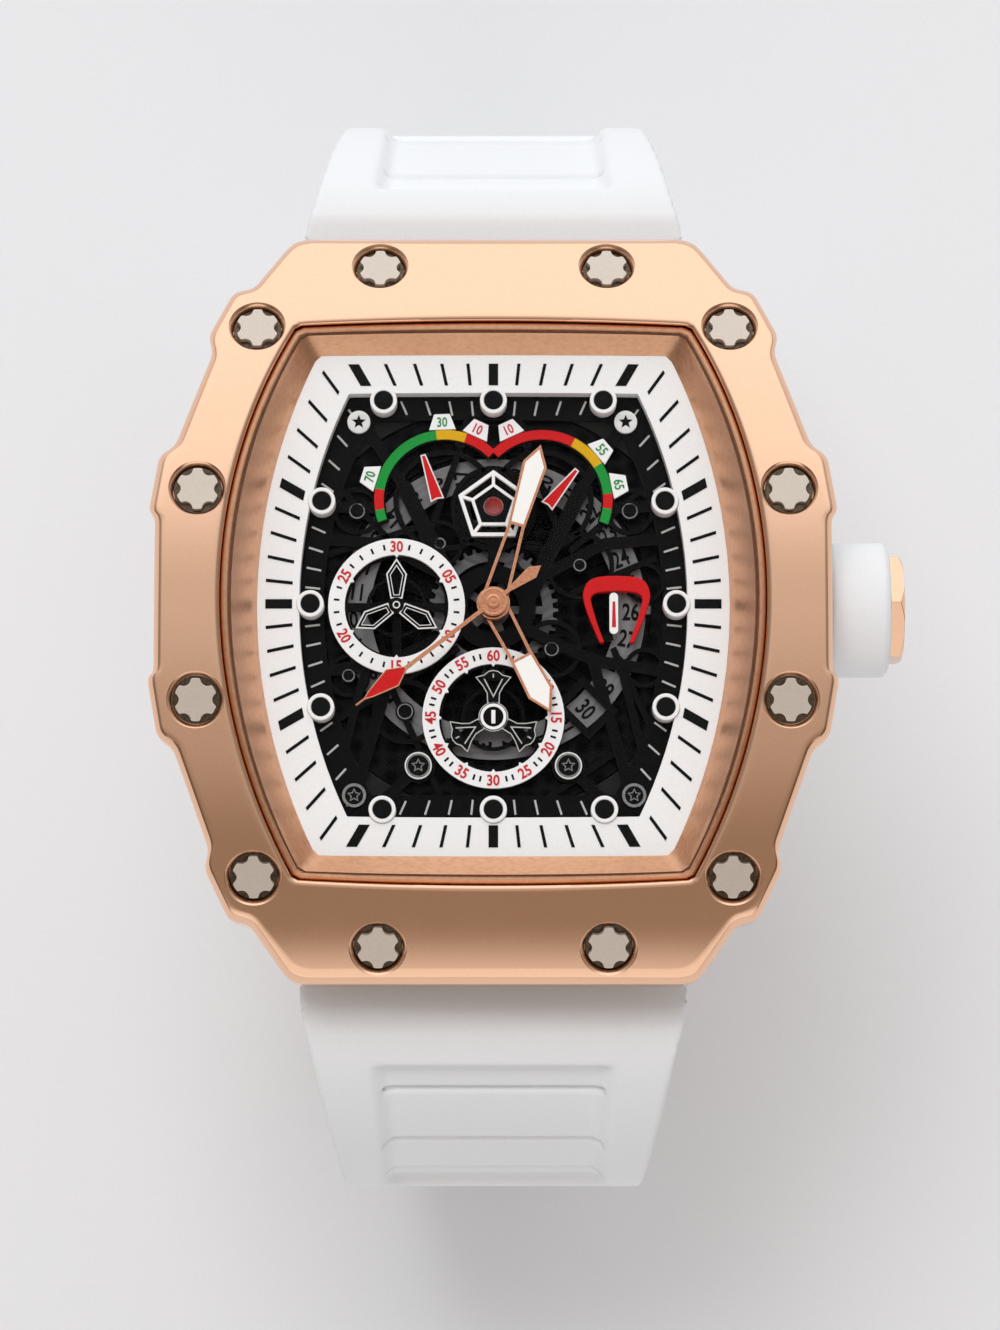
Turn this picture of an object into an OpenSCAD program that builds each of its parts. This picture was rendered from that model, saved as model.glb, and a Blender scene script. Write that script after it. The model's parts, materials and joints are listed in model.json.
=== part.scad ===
/* [Case] */
// Half width of the bezel, across the wrist
bezel_hw = 21.3; // [20.9:0.1:21.8]
// Half height of the bezel, along the strap
bezel_hh = 24; // [23.6:0.1:24.8]
// Height of the bezel's middle above the case back
case_h = 12.8; // [12.7:0.1:13.4]
// Radius of the bezel's curve over the wrist
bezel_r = 52; // [50:1:58]
// Thickness of the bezel
bezel_t = 2.6; // [2.2:0.1:2.8]
// Chamfer round the bezel's edge
bezel_chamfer = 0.6; // [0.3:0.1:0.7]
// How far the middle case stands back from the bezel
case_setback = 0.45; // [0.3:0.05:0.6]
// Thickness of the case back
back_t = 1.4; // [1.2:0.1:1.5]
// Half width of the bezel's opening
opening_hw = 17.1; // [17:0.1:17.4]
// Half height of the bezel's opening
opening_hh = 18; // [17.9:0.1:18.2]
// Radius of a bezel screw's head
screw_head_r = 1.45; // [1.3:0.05:1.5]
// Radius of a bezel screw's shank
screw_shank_r = 0.6; // [0.5:0.05:0.7]

/* [Crystal] */
// Thickness of the crystal
crystal_t = 1.2; // [1:0.1:1.3]
// Half width of the crystal
crystal_hw = 16.1; // [15.8:0.1:16.2]
// Half height of the crystal
crystal_hh = 17; // [16.7:0.1:17.1]
// Width of the crystal's gasket
gasket_w = 0.2; // [0.15:0.05:0.25]

/* [Dial] */
// Height of the dial's underside above the case back
dial_z = 6.25; // [6.2:0.05:6.4]
// Thickness of the dial
dial_t = 0.5; // [0.4:0.05:0.55]
// Half width of the white flange, outside
flange_hw = 15; // [14.8:0.1:15.1]
// Half height of the white flange, outside
flange_hh = 16.1; // [16:0.1:16.3]
// Half width of the white flange, inside
flange_in_hw = 12.3; // [12.2:0.1:12.6]
// Half height of the white flange, inside
flange_in_hh = 13.6; // [13.5:0.1:13.9]
// Height of the white flange
flange_t = 1.25; // [1:0.05:1.3]
// Width of the dial's skeleton bars
bar_w = 0.7; // [0.5:0.05:1]
// Radius of an hour post
post_r = 0.86; // [0.7:0.02:0.9]
// Outer radius of the counter's ring
counter_r = 4.35; // [4.2:0.05:4.4]
// Outer radius of the small seconds' ring
seconds_r = 4.5; // [4.3:0.05:4.5]
// Width of both subdial rings
subring_w = 1.05; // [0.9:0.05:1.2]
// Radius of the gauge's two arcs
gauge_r = 4.2; // [4:0.05:4.3]
// Width of the gauge's arcs
gauge_w = 0.6; // [0.4:0.05:0.7]
// Outer radius of the pentagon frame
pentagon_r = 2.36; // [2.1:0.05:2.5]

/* [Hands] */
// Length of the minute hand
minute_l = 10.6; // [10:0.1:10.9]
// Length of the hour hand
hour_l = 7.85; // [7.4:0.05:8.2]
// Length of the long seconds hand
chrono_l = 10.9; // [10.4:0.1:11.2]
// Length of both subdial hands
subhand_l = 3; // [2.6:0.05:3.1]
// Thickness of a hand
hand_t = 0.2; // [0.15:0.01:0.22]
// Radius of the hands' hubs
hub_r = 1.05; // [0.95:0.05:1.2]

/* [Movement] */
// Radius of the movement
movement_r = 13; // [12.8:0.1:13.2]
// Module of the wheels
wheel_module = 0.2; // [0.18:0.005:0.205]
// Teeth on the centre wheel
centre_teeth = 40; // [36:4:40]
// Teeth on the upper wheel
upper_teeth = 24; // [24:4:28]
// Inner radius of the date ring
date_in_r = 7.8; // [7.7:0.05:8]
// Outer radius of the date ring
date_out_r = 9.7; // [9.6:0.05:9.8]

/* [Crown] */
// Height of the crown's axis above the case back
crown_z = 5.2; // [5:0.05:5.25]
// Radius of the crown's rubber sleeve
crown_r = 4.3; // [4:0.1:4.6]
// Length of the crown's rubber sleeve
crown_l = 3.8; // [3.4:0.1:4.2]
// Width of the crown's hexagonal cap, across its flats
cap_w = 6.4; // [5.8:0.1:6.8]
// How far the crown pulls out
crown_travel = 1.2; // [1:0.1:1.4]

/* [Strap] */
// Thickness of the strap
strap_t = 3.2; // [3:0.1:3.4]
// Half width of the strap at the case
strap_hw = 12.7; // [12.4:0.1:12.8]
// Half width of the strap at its widest bend
strap_mid_hw = 10.75; // [10.4:0.05:11]
// Half width of the strap at the clasp
strap_end_hw = 10; // [9.7:0.05:10.3]
// Radius of the strap's upper bends
side_r = 18.5; // [18:0.1:19]
// Height of the strap loop's centre
loop_z = -14; // [-14.6:0.1:-13.6]
// Depth of the strap's window
window_d = 0.9; // [0.6:0.05:1.1]
// Half width of the window's mouth
window_hw = 8.65; // [8:0.05:8.9]
// Radius of the bars that carry the strap
lug_bar_r = 0.75; // [0.6:0.05:0.8]

/* [Clasp] */
// Thickness of the clasp's inner plates
plate_t = 0.8; // [0.7:0.02:0.84]
// Half width of the clasp's inner plates
plate_hw = 5.6; // [5.2:0.1:5.7]
// Half width of the clasp's cover
cover_hw = 9.3; // [9.2:0.1:9.5]
// Radius of the clasp's hinge pins
pin_r = 0.45; // [0.4:0.01:0.5]
// Radius of the clasp's spring bars
spring_bar_r = 0.6; // [0.5:0.02:0.64]
// Radius of a push button
button_r = 1.25; // [1.1:0.05:1.3]
// How far a push button goes in
button_travel = 0.6; // [0.4:0.05:0.6]

/* [Clearances] */
// Play of a pin or shaft in its bore
running = 0.06; // [0.05:0.01:0.08]
// Gap between pieces that move past each other
gap = 0.35; // [0.3:0.01:0.38]

/* [Hidden] */
$fn = 96;
rose = [0.86, 0.64, 0.5];
steel = [0.78, 0.78, 0.78];
brass = [0.72, 0.6, 0.35];
white = [0.95, 0.95, 0.94];
black = [0.06, 0.06, 0.065];
red = [0.78, 0.06, 0.07];
green = [0.1, 0.55, 0.2];
yellow = [0.82, 0.62, 0.08];
eps = 0.01;

// Axis of the bezel's curve
curve_z = case_h - bezel_r;
bezel_low_r = bezel_r - bezel_t;
screw_pocket_r = screw_head_r + 0.28;
screw_places = [[7.25, bezel_hh - 2.1], [bezel_hw - 6.3, bezel_hh - 6.4],
    [bezel_hw - 2.75, bezel_hh - 17.3]];
// Seat of the dial in the middle case
dial_top = dial_z + dial_t;
flange_top = dial_top + flange_t;
crystal_r = bezel_r - 0.3;
crystal_low_r = crystal_r - crystal_t;
ring_hw = opening_hw - 0.25;
ring_hh = opening_hh - 0.4;
cavity_r = movement_r + 1.6;
back_screw_places = [[12.6, 13.2], [16.8, 5]];
back_screw_r = 0.55;
// Movement levels
plate_z = back_t + 2;
plate_top = plate_z + 1;
wheel_z = plate_top + 0.7;
wheel_t = 0.3;
date_z = wheel_z + wheel_t + gap;
date_t = 0.2;
centre_r = wheel_module * centre_teeth / 2;
upper_r = wheel_module * upper_teeth / 2;
upper_y = centre_r + upper_r;
gauge_y = 6.9;
gauge_x = 3.1;
counter_x = -6.15;
seconds_y = -7.16;
jewel_r = 0.6;
// Hand levels
subhand_z = dial_top + 0.65;
hour_z = dial_top + 1;
minute_z = hour_z + 0.5;
chrono_z = minute_z + 0.55;
chrono_arbor_r = 0.17;
minute_bore_r = chrono_arbor_r + running;
minute_tube_r = 0.5;
hour_bore_r = minute_tube_r + running;
hour_tube_r = 0.85;
minute_angle = 16.5;
hour_angle = 152.2;
chrono_angle = 232.6;
// Crown levels
case_x = bezel_hw - case_setback;
sleeve_x = bezel_hw + 0.05;
stem_r = 0.42;
tube_r = 1.5;
crown_bore_r = tube_r + 0.45;
cap_x = sleeve_x + crown_l;
// Strap loop
lug_y = bezel_hh - 3;
lug_z = -2;
knuckle_r = 2.2;
lug_hw = 4.6;
side_y = bezel_hh - 6.5;
loop_r = side_y + side_r;
loop_in_r = loop_r - strap_t;
bar_ring_r = loop_r - strap_t / 2;
// Clasp stack, from the wrist outwards
base_r = loop_in_r;
blade_in_r = base_r + plate_t + gap;
cover_in_r = blade_in_r + plate_t + gap;
cover_out_r = cover_in_r + 2.5;
cover_floor = loop_z - cover_in_r - 1.6;
fold_r = base_r + plate_t;
link_r = cover_in_r - 0.1;
clasp_knuckle_r = 1.1;
fold_a = -24.4;
link_a = 19.9;
upper_bar_a = 28.7;
lower_bar_a = -32.5;
button_a = -11;

function unit(v) = v / norm(v);
function reversed(p) = [for (i = [len(p) - 1:-1:0]) p[i]];
function four_ways(q) = concat(q, [for (p = reversed(q)) [p[0], -p[1]]],
    [for (p = q) [-p[0], -p[1]]], [for (p = reversed(q)) [-p[0], p[1]]]);
// Outline moved inwards by d, along the mitre of each corner
function inset(p, d) = [for (i = [0:len(p) - 1])
    let (a = p[(i + len(p) - 1) % len(p)], c = p[(i + 1) % len(p)],
        u = unit(p[i] - a), v = unit(c - p[i]), m = [u[1], -u[0]], n = [v[1], -v[0]])
    p[i] + d * (m + n) / (1 + m * n)];
// Height of the bezel's curved face at y, for a cylinder of radius r
function curve_top(y, r) = curve_z + sqrt(r * r - y * y);
// Point on the strap loop at radius r and angle a from straight down
function loop_at(r, a) = [r * sin(a), loop_z - r * cos(a)];

bezel_outline = four_ways([[bezel_hw - 9.2, bezel_hh], [bezel_hw - 8.4, bezel_hh - 0.3],
    [bezel_hw - 7.9, bezel_hh - 0.9], [bezel_hw - 6, bezel_hh - 3.6],
    [bezel_hw - 4.7, bezel_hh - 3.9], [bezel_hw - 3.2, bezel_hh - 7],
    [bezel_hw - 3.5, bezel_hh - 8.2], [bezel_hw - 1.3, bezel_hh - 14.4],
    [bezel_hw - 0.3, bezel_hh - 15.1], [bezel_hw + 0.3, bezel_hh - 18.7],
    [bezel_hw - 0.1, bezel_hh - 19.1]]);

// Solid skin through a stack of rings with equal counts of points, clockwise from above
module loft(rings) {
    n = len(rings[0]);
    top = n * (len(rings) - 1);
    polyhedron(points = [for (r = rings) for (p = r) p],
        faces = concat([reversed([for (i = [0:n - 1]) i])], [[for (i = [0:n - 1]) top + i]],
            [for (k = [0:len(rings) - 2]) for (i = [0:n - 1]) let (a = k * n, j = (i + 1) % n)
                each [[a + i, a + j, a + n + j], [a + i, a + n + j, a + n + i]]]));
}

// Barrel outline: four arcs through half width, half height and a corner
module barrel(hw, hh, cx, cy) {
    sr = (cy * cy + (hw - cx) * (hw - cx)) / (2 * (hw - cx));
    er = (cx * cx + (hh - cy) * (hh - cy)) / (2 * (hh - cy));
    intersection() {
        translate([hw - sr, 0]) circle(sr, $fn = 360);
        translate([sr - hw, 0]) circle(sr, $fn = 360);
        translate([0, hh - er]) circle(er, $fn = 360);
        translate([0, er - hh]) circle(er, $fn = 360);
    }
}

// Barrel with clipped corners, as the bezel's opening and the crystal have
module soft_barrel(hw, hh) {
    intersection() {
        barrel(hw, hh, hw - 4.6, hh - 0.35);
        circle(norm([hw - 4.6, hh - 0.35]) - 0.45);
    }
}

module flange_shape(hw, hh, back) barrel(hw, hh, hw - back, hh - 0.06);

// Slab between two heights
module slab(z0, z1) translate([0, 0, z0]) linear_extrude(z1 - z0) children();

// Cylinder across the wrist, about the axis of the bezel's curve
module curve_cylinder(r) translate([-40, 0, curve_z]) rotate([0, 90, 0]) cylinder(r = r, h = 80, $fn = 360);

// Rod along X at a place in the YZ plane, between two x values
module rod(yz, r, x0, x1) translate([x0, yz[0], yz[1]]) rotate([0, 90, 0]) cylinder(r = r, h = x1 - x0);

// Rod from -x to x
module cross_rod(yz, r, x) rod(yz, r, -x, x);

module both_sides() {
    children();
    mirror([1, 0, 0]) children();
}

module both_ends() {
    children();
    mirror([0, 1, 0]) children();
}

module at_screws(places) {
    for (p = places, sx = [-1, 1], sy = [-1, 1]) translate([sx * p[0], sy * p[1], 0]) children();
}

// Puts its children on the bezel's face, square to it
module on_bezel() {
    for (p = screw_places, sx = [-1, 1], sy = [-1, 1])
        translate([sx * p[0], 0, curve_z]) rotate([-sy * asin(p[1] / bezel_r), 0, 0])
            translate([0, 0, bezel_r]) children();
}

module annulus(r, w) {
    difference() {
        circle(r);
        circle(r - w);
    }
}

// Pie slice from angle a0 to a1, below 180 degrees apart
module wedge(r, a0, a1) {
    m = (a0 + a1) / 2;
    far = r / cos((a1 - a0) / 4);
    polygon([[0, 0], r * [cos(a0), sin(a0)], far * [cos((a0 + m) / 2), sin((a0 + m) / 2)],
        r * [cos(m), sin(m)], far * [cos((a1 + m) / 2), sin((a1 + m) / 2)], r * [cos(a1), sin(a1)]]);
}

// Straight bar with round ends between two points
module bar(a, b, w) {
    translate(a) circle(w / 2);
    translate(b) circle(w / 2);
    translate(a) rotate(atan2(b[1] - a[1], b[0] - a[0])) translate([0, -w / 2]) square([norm(b - a), w]);
}

// Case

module bezel() {
    edge = bezel_chamfer + 0.3;
    inner = inset(bezel_outline, edge);
    color(rose) difference() {
        intersection() {
            loft([[for (p = bezel_outline) [p[0], p[1], 0]],
                [for (p = bezel_outline) [p[0], p[1], curve_top(p[1], bezel_r) - bezel_chamfer]],
                [for (i = [0:len(inner) - 1])
                    [inner[i][0], inner[i][1], curve_top(bezel_outline[i][1], bezel_r) + 0.3]],
                [for (p = inner) [p[0], p[1], case_h + 2]]]);
            curve_cylinder(bezel_r);
        }
        curve_cylinder(bezel_low_r);
        slab(0, case_h + 3) soft_barrel(opening_hw, opening_hh);
        on_bezel() translate([0, 0, -0.95]) cylinder(r = screw_pocket_r, h = 3);
        on_bezel() translate([0, 0, -6]) cylinder(r = screw_shank_r + running, h = 6);
    }
}

module bezel_screws() {
    color(steel) on_bezel() {
        difference() {
            translate([0, 0, -0.95]) cylinder(r = screw_head_r, h = 0.75);
            for (a = [0:60:300]) rotate(a + 30) translate([screw_head_r, 0, -0.65])
                cylinder(r = 0.3, h = 1, $fn = 24);
        }
        translate([0, 0, -4.2]) cylinder(r = screw_shank_r, h = 3.25);
    }
}

module crystal() {
    color([0.85, 0.9, 0.95, 0.35]) difference() {
        intersection() {
            slab(0, case_h + 2) soft_barrel(crystal_hw, crystal_hh);
            curve_cylinder(crystal_r);
        }
        curve_cylinder(crystal_low_r);
    }
}

module crystal_gasket() {
    color(black) difference() {
        intersection() {
            slab(0, case_h + 2) soft_barrel(crystal_hw + gasket_w, crystal_hh + gasket_w);
            curve_cylinder(crystal_r - 0.1);
        }
        curve_cylinder(crystal_low_r);
        slab(0, case_h + 3) soft_barrel(crystal_hw, crystal_hh);
    }
}

// Rose ring that holds the crystal and slopes down to the flange
module inner_ring() {
    slope = crystal_hw - flange_hw - 0.15;
    rise = case_h - flange_top;
    color(rose) difference() {
        intersection() {
            slab(dial_top, case_h + 2) soft_barrel(ring_hw, ring_hh);
            curve_cylinder(crystal_r - 0.05);
        }
        difference() {
            slab(0, case_h + 3) soft_barrel(crystal_hw + gasket_w, crystal_hh + gasket_w);
            curve_cylinder(crystal_low_r);
        }
        slab(0, flange_top + eps) flange_shape(flange_hw, flange_hh, 3.8);
        translate([0, 0, flange_top]) linear_extrude(rise, slices = 1,
            scale = [1 + slope / flange_hw, 1 + 0.6 / flange_hh]) flange_shape(flange_hw, flange_hh, 3.8);
    }
}

// Space that the strap's head turns in, round the lug bar
module lug_pocket() cross_rod([lug_y, lug_z], knuckle_r + 0.4, 30);

module case_lug() {
    z = lug_z;
    both_ends() {
        difference() {
            translate([-lug_hw, 0, 0]) rotate([90, 0, 90]) linear_extrude(2 * lug_hw)
                polygon([[lug_y - 3.2, z + 5], [lug_y - 0.8, z + 5], [lug_y - 0.8, z + 2.8],
                    [lug_y + 1.2, z + 1.5], [lug_y + 1.9, z], [lug_y + 1.2, z - 1.5], [lug_y, z - 2],
                    [lug_y - 2, z - 1], [lug_y - 3.2, z + 2]]);
            cross_rod([lug_y, lug_z], lug_bar_r, 30);
        }
    }
}

module case_middle() {
    color(white) {
        difference() {
            intersection() {
                slab(0, case_h) polygon(inset(bezel_outline, case_setback));
                curve_cylinder(bezel_low_r);
            }
            both_ends() translate([-30, lug_y - 0.8, -1]) cube([60, 10, case_h]);
            both_ends() lug_pocket();
            slab(-1, back_t) back_shape();
            slab(back_t - 1, case_h) circle(cavity_r);
            slab(dial_z, case_h) soft_barrel(opening_hw, opening_hh);
            slab(back_t - 1, back_t + 0.55) annulus(cavity_r + 1.05, 0.75);
            at_screws(back_screw_places) translate([0, 0, back_t - 1]) cylinder(r = back_screw_r, h = 4);
            on_bezel() translate([0, 0, -6]) cylinder(r = screw_shank_r + running, h = 6);
            rod([0, crown_z], tube_r, cavity_r - 2, case_x + 2);
        }
        case_lug();
    }
}

// Outline of the case back
module back_shape() barrel(bezel_hw - 3.1, lug_y - 3.4, bezel_hw - 7.1, lug_y - 3.9);

module case_back() {
    color(rose) difference() {
        union() {
            slab(0.5, back_t) back_shape();
            slab(0, 0.5) intersection() {
                back_shape();
                scale(0.965) back_shape();
            }
        }
        at_screws(back_screw_places) translate([0, 0, -1]) cylinder(r = back_screw_r, h = 4);
        at_screws(back_screw_places) translate([0, 0, -1]) cylinder(r = 2 * back_screw_r, h = 1.6);
        slab(-1, 0.15) annulus(movement_r - 1, 0.4);
    }
}

module case_back_gasket() {
    color(black) slab(back_t, back_t + 0.5) annulus(cavity_r + 1, 0.65);
}

module case_back_screws() {
    color(steel) at_screws(back_screw_places) {
        difference() {
            translate([0, 0, 0.1]) cylinder(r = 2 * back_screw_r - 0.1, h = 0.5);
            translate([-1.5, -0.1, 0]) cube([3, 0.2, 0.35]);
        }
        translate([0, 0, 0.6]) cylinder(r = back_screw_r - 0.03, h = 3);
    }
}

// Movement

module movement_holder() {
    color(white) difference() {
        slab(back_t, dial_z) annulus(cavity_r - 0.1, cavity_r - movement_r - 0.2);
        rod([0, crown_z], tube_r, movement_r - 1, cavity_r + 1);
    }
}

// Places of the arbors that turn in the main plate, with their radii
arbors = [[0, 0, chrono_arbor_r], [0, upper_y, 0.25], [counter_x, 0, 0.2], [0, seconds_y, 0.2]];

module main_plate() {
    color(steel) difference() {
        union() {
            slab(plate_z, plate_top) circle(movement_r);
            slab(plate_top, date_z - gap + 0.02) annulus(movement_r, movement_r - date_out_r + 0.45);
            slab(plate_top, date_z + date_t) annulus(movement_r, movement_r - date_out_r - gap);
        }
        for (a = arbors) translate([a[0], a[1], 0]) cylinder(r = a[2] + running, h = case_h);
        rod([0, crown_z], stem_r + running, 6, movement_r + 1);
    }
}

module battery_cell() {
    color(steel) translate([-6.2, -3.5, back_t + 0.3]) cylinder(r = 4.75, h = 1.65);
}

module circuit_board() {
    color(green) difference() {
        slab(back_t + 1.7, plate_z) intersection() {
            circle(movement_r - 0.4);
            translate([-1, -20]) square([20, 40]);
        }
        for (a = arbors) translate([a[0], a[1], 0]) cylinder(r = a[2] + 0.5, h = case_h);
    }
}

module drive_coil() {
    color([0.6, 0.3, 0.15]) translate([5.5, 4.5, back_t + 0.9]) {
        rod([0, 0], 0.78, -3.5, 3.5);
        for (x = [-4.5, 3.5]) translate([x, -1.1, -0.8]) cube([1, 2.2, 1.6]);
    }
}

// Black bridge over the main plate, seen through the dial
module train_bridge() {
    feet = [for (a = [30, 90, 160, 215, 270, 325]) 8.5 * [cos(a), sin(a)]];
    color(black) difference() {
        slab(plate_top, wheel_z - gap) {
            annulus(3.4, 1);
            annulus(9.2, 1.1);
            for (f = feet) bar(2.9 * unit(f), f, 1.3);
        }
        for (a = arbors) translate([a[0], a[1], 0]) cylinder(r = a[2] + gap + 0.3, h = case_h);
    }
}

// Wheel with straight-sided teeth, the first one at angle start
module toothed(teeth, start) {
    r = wheel_module * teeth / 2;
    tip = r + 0.7 * wheel_module;
    root = r - 0.95 * wheel_module;
    for (i = [0:teeth - 1]) rotate(start + i * 360 / teeth)
        polygon([[root - 0.1, -0.16], [root - 0.1, 0.16], [tip, 0.07], [tip, -0.07]]);
    difference() {
        circle(root);
        circle(root - 0.65);
    }
}

module spokes(count, r, w) for (i = [0:count - 1]) rotate(i * 360 / count) translate([0, -w / 2]) square([r, w]);

module centre_wheel() {
    color(brass) difference() {
        union() {
            slab(wheel_z, wheel_z + wheel_t) {
                toothed(centre_teeth, 0);
                spokes(5, centre_r - 4 * wheel_module, 0.5);
                circle(1);
            }
            translate([0, 0, wheel_z - 0.3]) cylinder(r = minute_tube_r, h = minute_z + hand_t + 0.3 - wheel_z);
        }
        cylinder(r = minute_bore_r, h = case_h);
    }
}

module upper_wheel() {
    color(brass) translate([0, upper_y, 0]) {
        slab(wheel_z, wheel_z + wheel_t) {
            toothed(upper_teeth, -90 + 180 / upper_teeth);
            spokes(5, upper_r - 3 * wheel_module, 0.4);
            circle(0.6);
        }
        translate([0, 0, plate_z]) cylinder(r = 0.25, h = dial_z - gap - plate_z);
    }
}

module date_ring() {
    color([0.8, 0.8, 0.8]) slab(date_z, date_z + date_t) annulus(date_out_r, date_out_r - date_in_r);
}

// Dial

post_places = [[0, flange_in_hh - 0.5], [7, flange_in_hh - 0.5], [flange_in_hw - 1.4, 6.6],
    [flange_in_hw - 0.7, 0]];

module at_posts() {
    at_screws([for (i = [1, 2]) post_places[i]]) children();
    for (s = [-1, 1]) {
        translate([0, s * post_places[0][1], 0]) children();
        translate([s * post_places[3][0], 0, 0]) children();
    }
}

// One lobe of the gauge, from angle a0 to a1 about its own centre
module lobe(side, a0, a1, grow = 0) {
    translate([side * gauge_x, gauge_y]) intersection() {
        annulus(gauge_r + gauge_w / 2 + grow, gauge_w + 2 * grow);
        wedge(2 * gauge_r, a0, a1);
    }
}

module dial_bars() {
    mouth = [[6.3, 10.9], [3, 1.9]];
    for (s = [-1, 1]) {
        bar([s * 8.6, 12.4], [s * 5.6, 7.6], bar_w);
        bar([s * 5.6, 7.6], [s * 2.1, 0.4], 1.4 * bar_w);
        bar([s * 11.3, 4.4], [s * 7.1, 4.1], bar_w);
        bar([s * 7.1, 4.1], [s * 2, 1.4], bar_w);
        bar([s * 2, -1.4], [s * 6.3, -3.4], bar_w);
        bar([s * 6.3, -3.4], [s * 8.9, -12.6], bar_w);
        bar([s * 8, -3.4], [s * 9.9, -11.2], 0.7 * bar_w);
        bar([s * 11, -4.2], [s * 6.3, -3.4], bar_w);
        bar([s * 4.7, -10.2], [s * 7.3, -12.7], bar_w);
        bar([s * 4.7, -10.2], [s * 3.7, -9.7], bar_w);
        bar([s * 1.3, 12.6], [s * 2.1, 10.6], bar_w);
        translate([s * 4.75, -10.2]) circle(1.05);
        translate([s * 8.6, 12]) circle(1);
        translate([s * 8.85, -12.1]) circle(1);
        lobe(s, s > 0 ? -21 : 44, s > 0 ? 60 : 130, 0.1);
        lobe(s, s > 0 ? 60 : 129, s > 0 ? 136 : 201, 0.1);
        bar([s * 7.2, 6.4], [s * 11.2, 6.5], bar_w);
    }
    translate([0, upper_y]) annulus(pentagon_r, 0.9);
    bar([0, upper_y - 1.6], [0, 2], bar_w);
    annulus(2.7, 1.05);
    bar([counter_x - 3.6, 0], [counter_x + 3.6, 0], 0.5);
    bar([counter_x, -3.4], [counter_x, 3.4], 0.5);
    translate([counter_x, 0]) annulus(counter_r, subring_w + 0.15);
    translate([0, seconds_y]) annulus(seconds_r, subring_w + 0.15);
    for (a = [90, 210, 330]) bar([0, seconds_y], [0, seconds_y] + 3.6 * [cos(a), sin(a)], 0.6);
}

module date_hole(grow = 0) {
    translate([5.88, -6.48]) rotate(-45) square([2.2 + grow, 1.7 + grow], center = true);
}

module dial_plate() {
    color(black) difference() {
        slab(dial_z, dial_top) difference() {
            union() {
                difference() {
                    flange_shape(flange_hw + 0.5, flange_hh + 0.5, 3.8);
                    flange_shape(flange_in_hw - 1.5, flange_in_hh - 1.5, 3.1);
                }
                intersection() {
                    flange_shape(flange_hw, flange_hh, 3.8);
                    union() {
                        dial_bars();
                        date_hole(0.9);
                    }
                }
            }
            date_hole();
            circle(hour_tube_r + gap);
            translate([counter_x, 0]) circle(0.2 + gap);
            translate([0, seconds_y]) circle(0.2 + gap);
        }
    }
}

dial_screw_places = [[-8.6, 11.9, 0.73], [8.45, 11.9, 0.73], [-8.8, -12.1, 0.73], [8.9, -12.1, 0.73],
    [-4.75, -10.2, 0.86], [4.75, -10.2, 0.86]];

module dial_screws() {
    color(steel) for (p = dial_screw_places) translate([p[0], p[1], dial_top]) difference() {
        cylinder(r = p[2], h = 0.35);
        for (a = [0:72:288]) translate([0, 0, 0.2]) linear_extrude(1) rotate(a + 90)
            polygon([[0, -0.12], [0.4 * p[2] / 0.73, 0], [0, 0.12]]);
    }
}

module flange_flat() {
    difference() {
        flange_shape(flange_hw, flange_hh, 3.8);
        flange_shape(flange_in_hw, flange_in_hh, 3.1);
    }
}

module dial_flange() {
    color(white) difference() {
        slab(dial_top, flange_top) flange_flat();
        at_posts() cylinder(r = post_r + eps, h = case_h);
    }
}

module minute_ticks() {
    color(black) slab(flange_top, flange_top + 0.04) intersection() {
        difference() {
            flange_shape(flange_hw - 0.55, flange_hh - 0.6, 3.8);
            flange_shape(flange_in_hw + 0.45, flange_in_hh + 0.5, 3.1);
        }
        for (i = [0:59]) rotate(6 * i) translate([10, i % 5 == 0 ? -0.3 : -0.1])
            square([10, i % 5 == 0 ? 0.6 : 0.2]);
    }
}

module hour_posts() {
    color(white) at_posts() difference() {
        translate([0, 0, dial_top]) cylinder(r = post_r, h = flange_t + 0.25);
        translate([0, 0, flange_top + 0.15]) cylinder(r = post_r - 0.24, h = 1);
    }
}

// Ring of a subdial with a small tooth inwards at each of its numerals
module subring(r, teeth) {
    color(white) slab(dial_top, dial_top + 0.4) {
        annulus(r, subring_w);
        for (i = [0:teeth - 1]) rotate(90 + i * 360 / teeth) translate([r - subring_w - 0.18, 0])
            polygon([[0, 0], [0.25, -0.2], [0.25, 0.2]]);
    }
}

module counter_ring() translate([counter_x, 0, 0]) subring(counter_r, 6);

module seconds_ring() translate([0, seconds_y, 0]) subring(seconds_r, 12);

module gauge_slab() slab(dial_top, dial_top + 0.25) children();

module gauge_green() {
    color(green) gauge_slab() {
        lobe(-1, 189, 199);
        lobe(-1, 97.5, 171);
        lobe(1, 4.8, 31.7);
        lobe(1, -21, -8);
    }
}

module gauge_yellow() {
    color(yellow) gauge_slab() {
        lobe(-1, 71.6, 97.5);
        lobe(1, 31.7, 61.8);
    }
}

module gauge_red() {
    color(red) gauge_slab() {
        lobe(-1, 171, 189);
        lobe(-1, 44.5, 71.6);
        lobe(1, 61.8, 135.5);
        lobe(1, -8, 4.8);
    }
}

gauge_label_angles = [[-1, 163], [-1, 92], [-1, 65], [1, 115], [1, 40], [1, 11]];

module gauge_labels() {
    color(white) for (g = gauge_label_angles) translate([g[0] * gauge_x, gauge_y, dial_top]) rotate(g[1])
        translate([gauge_r + gauge_w / 2 + 0.02, 0, 0]) linear_extrude(0.3)
            polygon([[0, -0.85], [1, -0.5], [1, 0.5], [0, 0.85]]);
}

gauge_needles = [[[-3.56, 6.8], [-4.5, 9.76]], [[3.4, 6.42], [5.34, 8.8]]];

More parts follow.
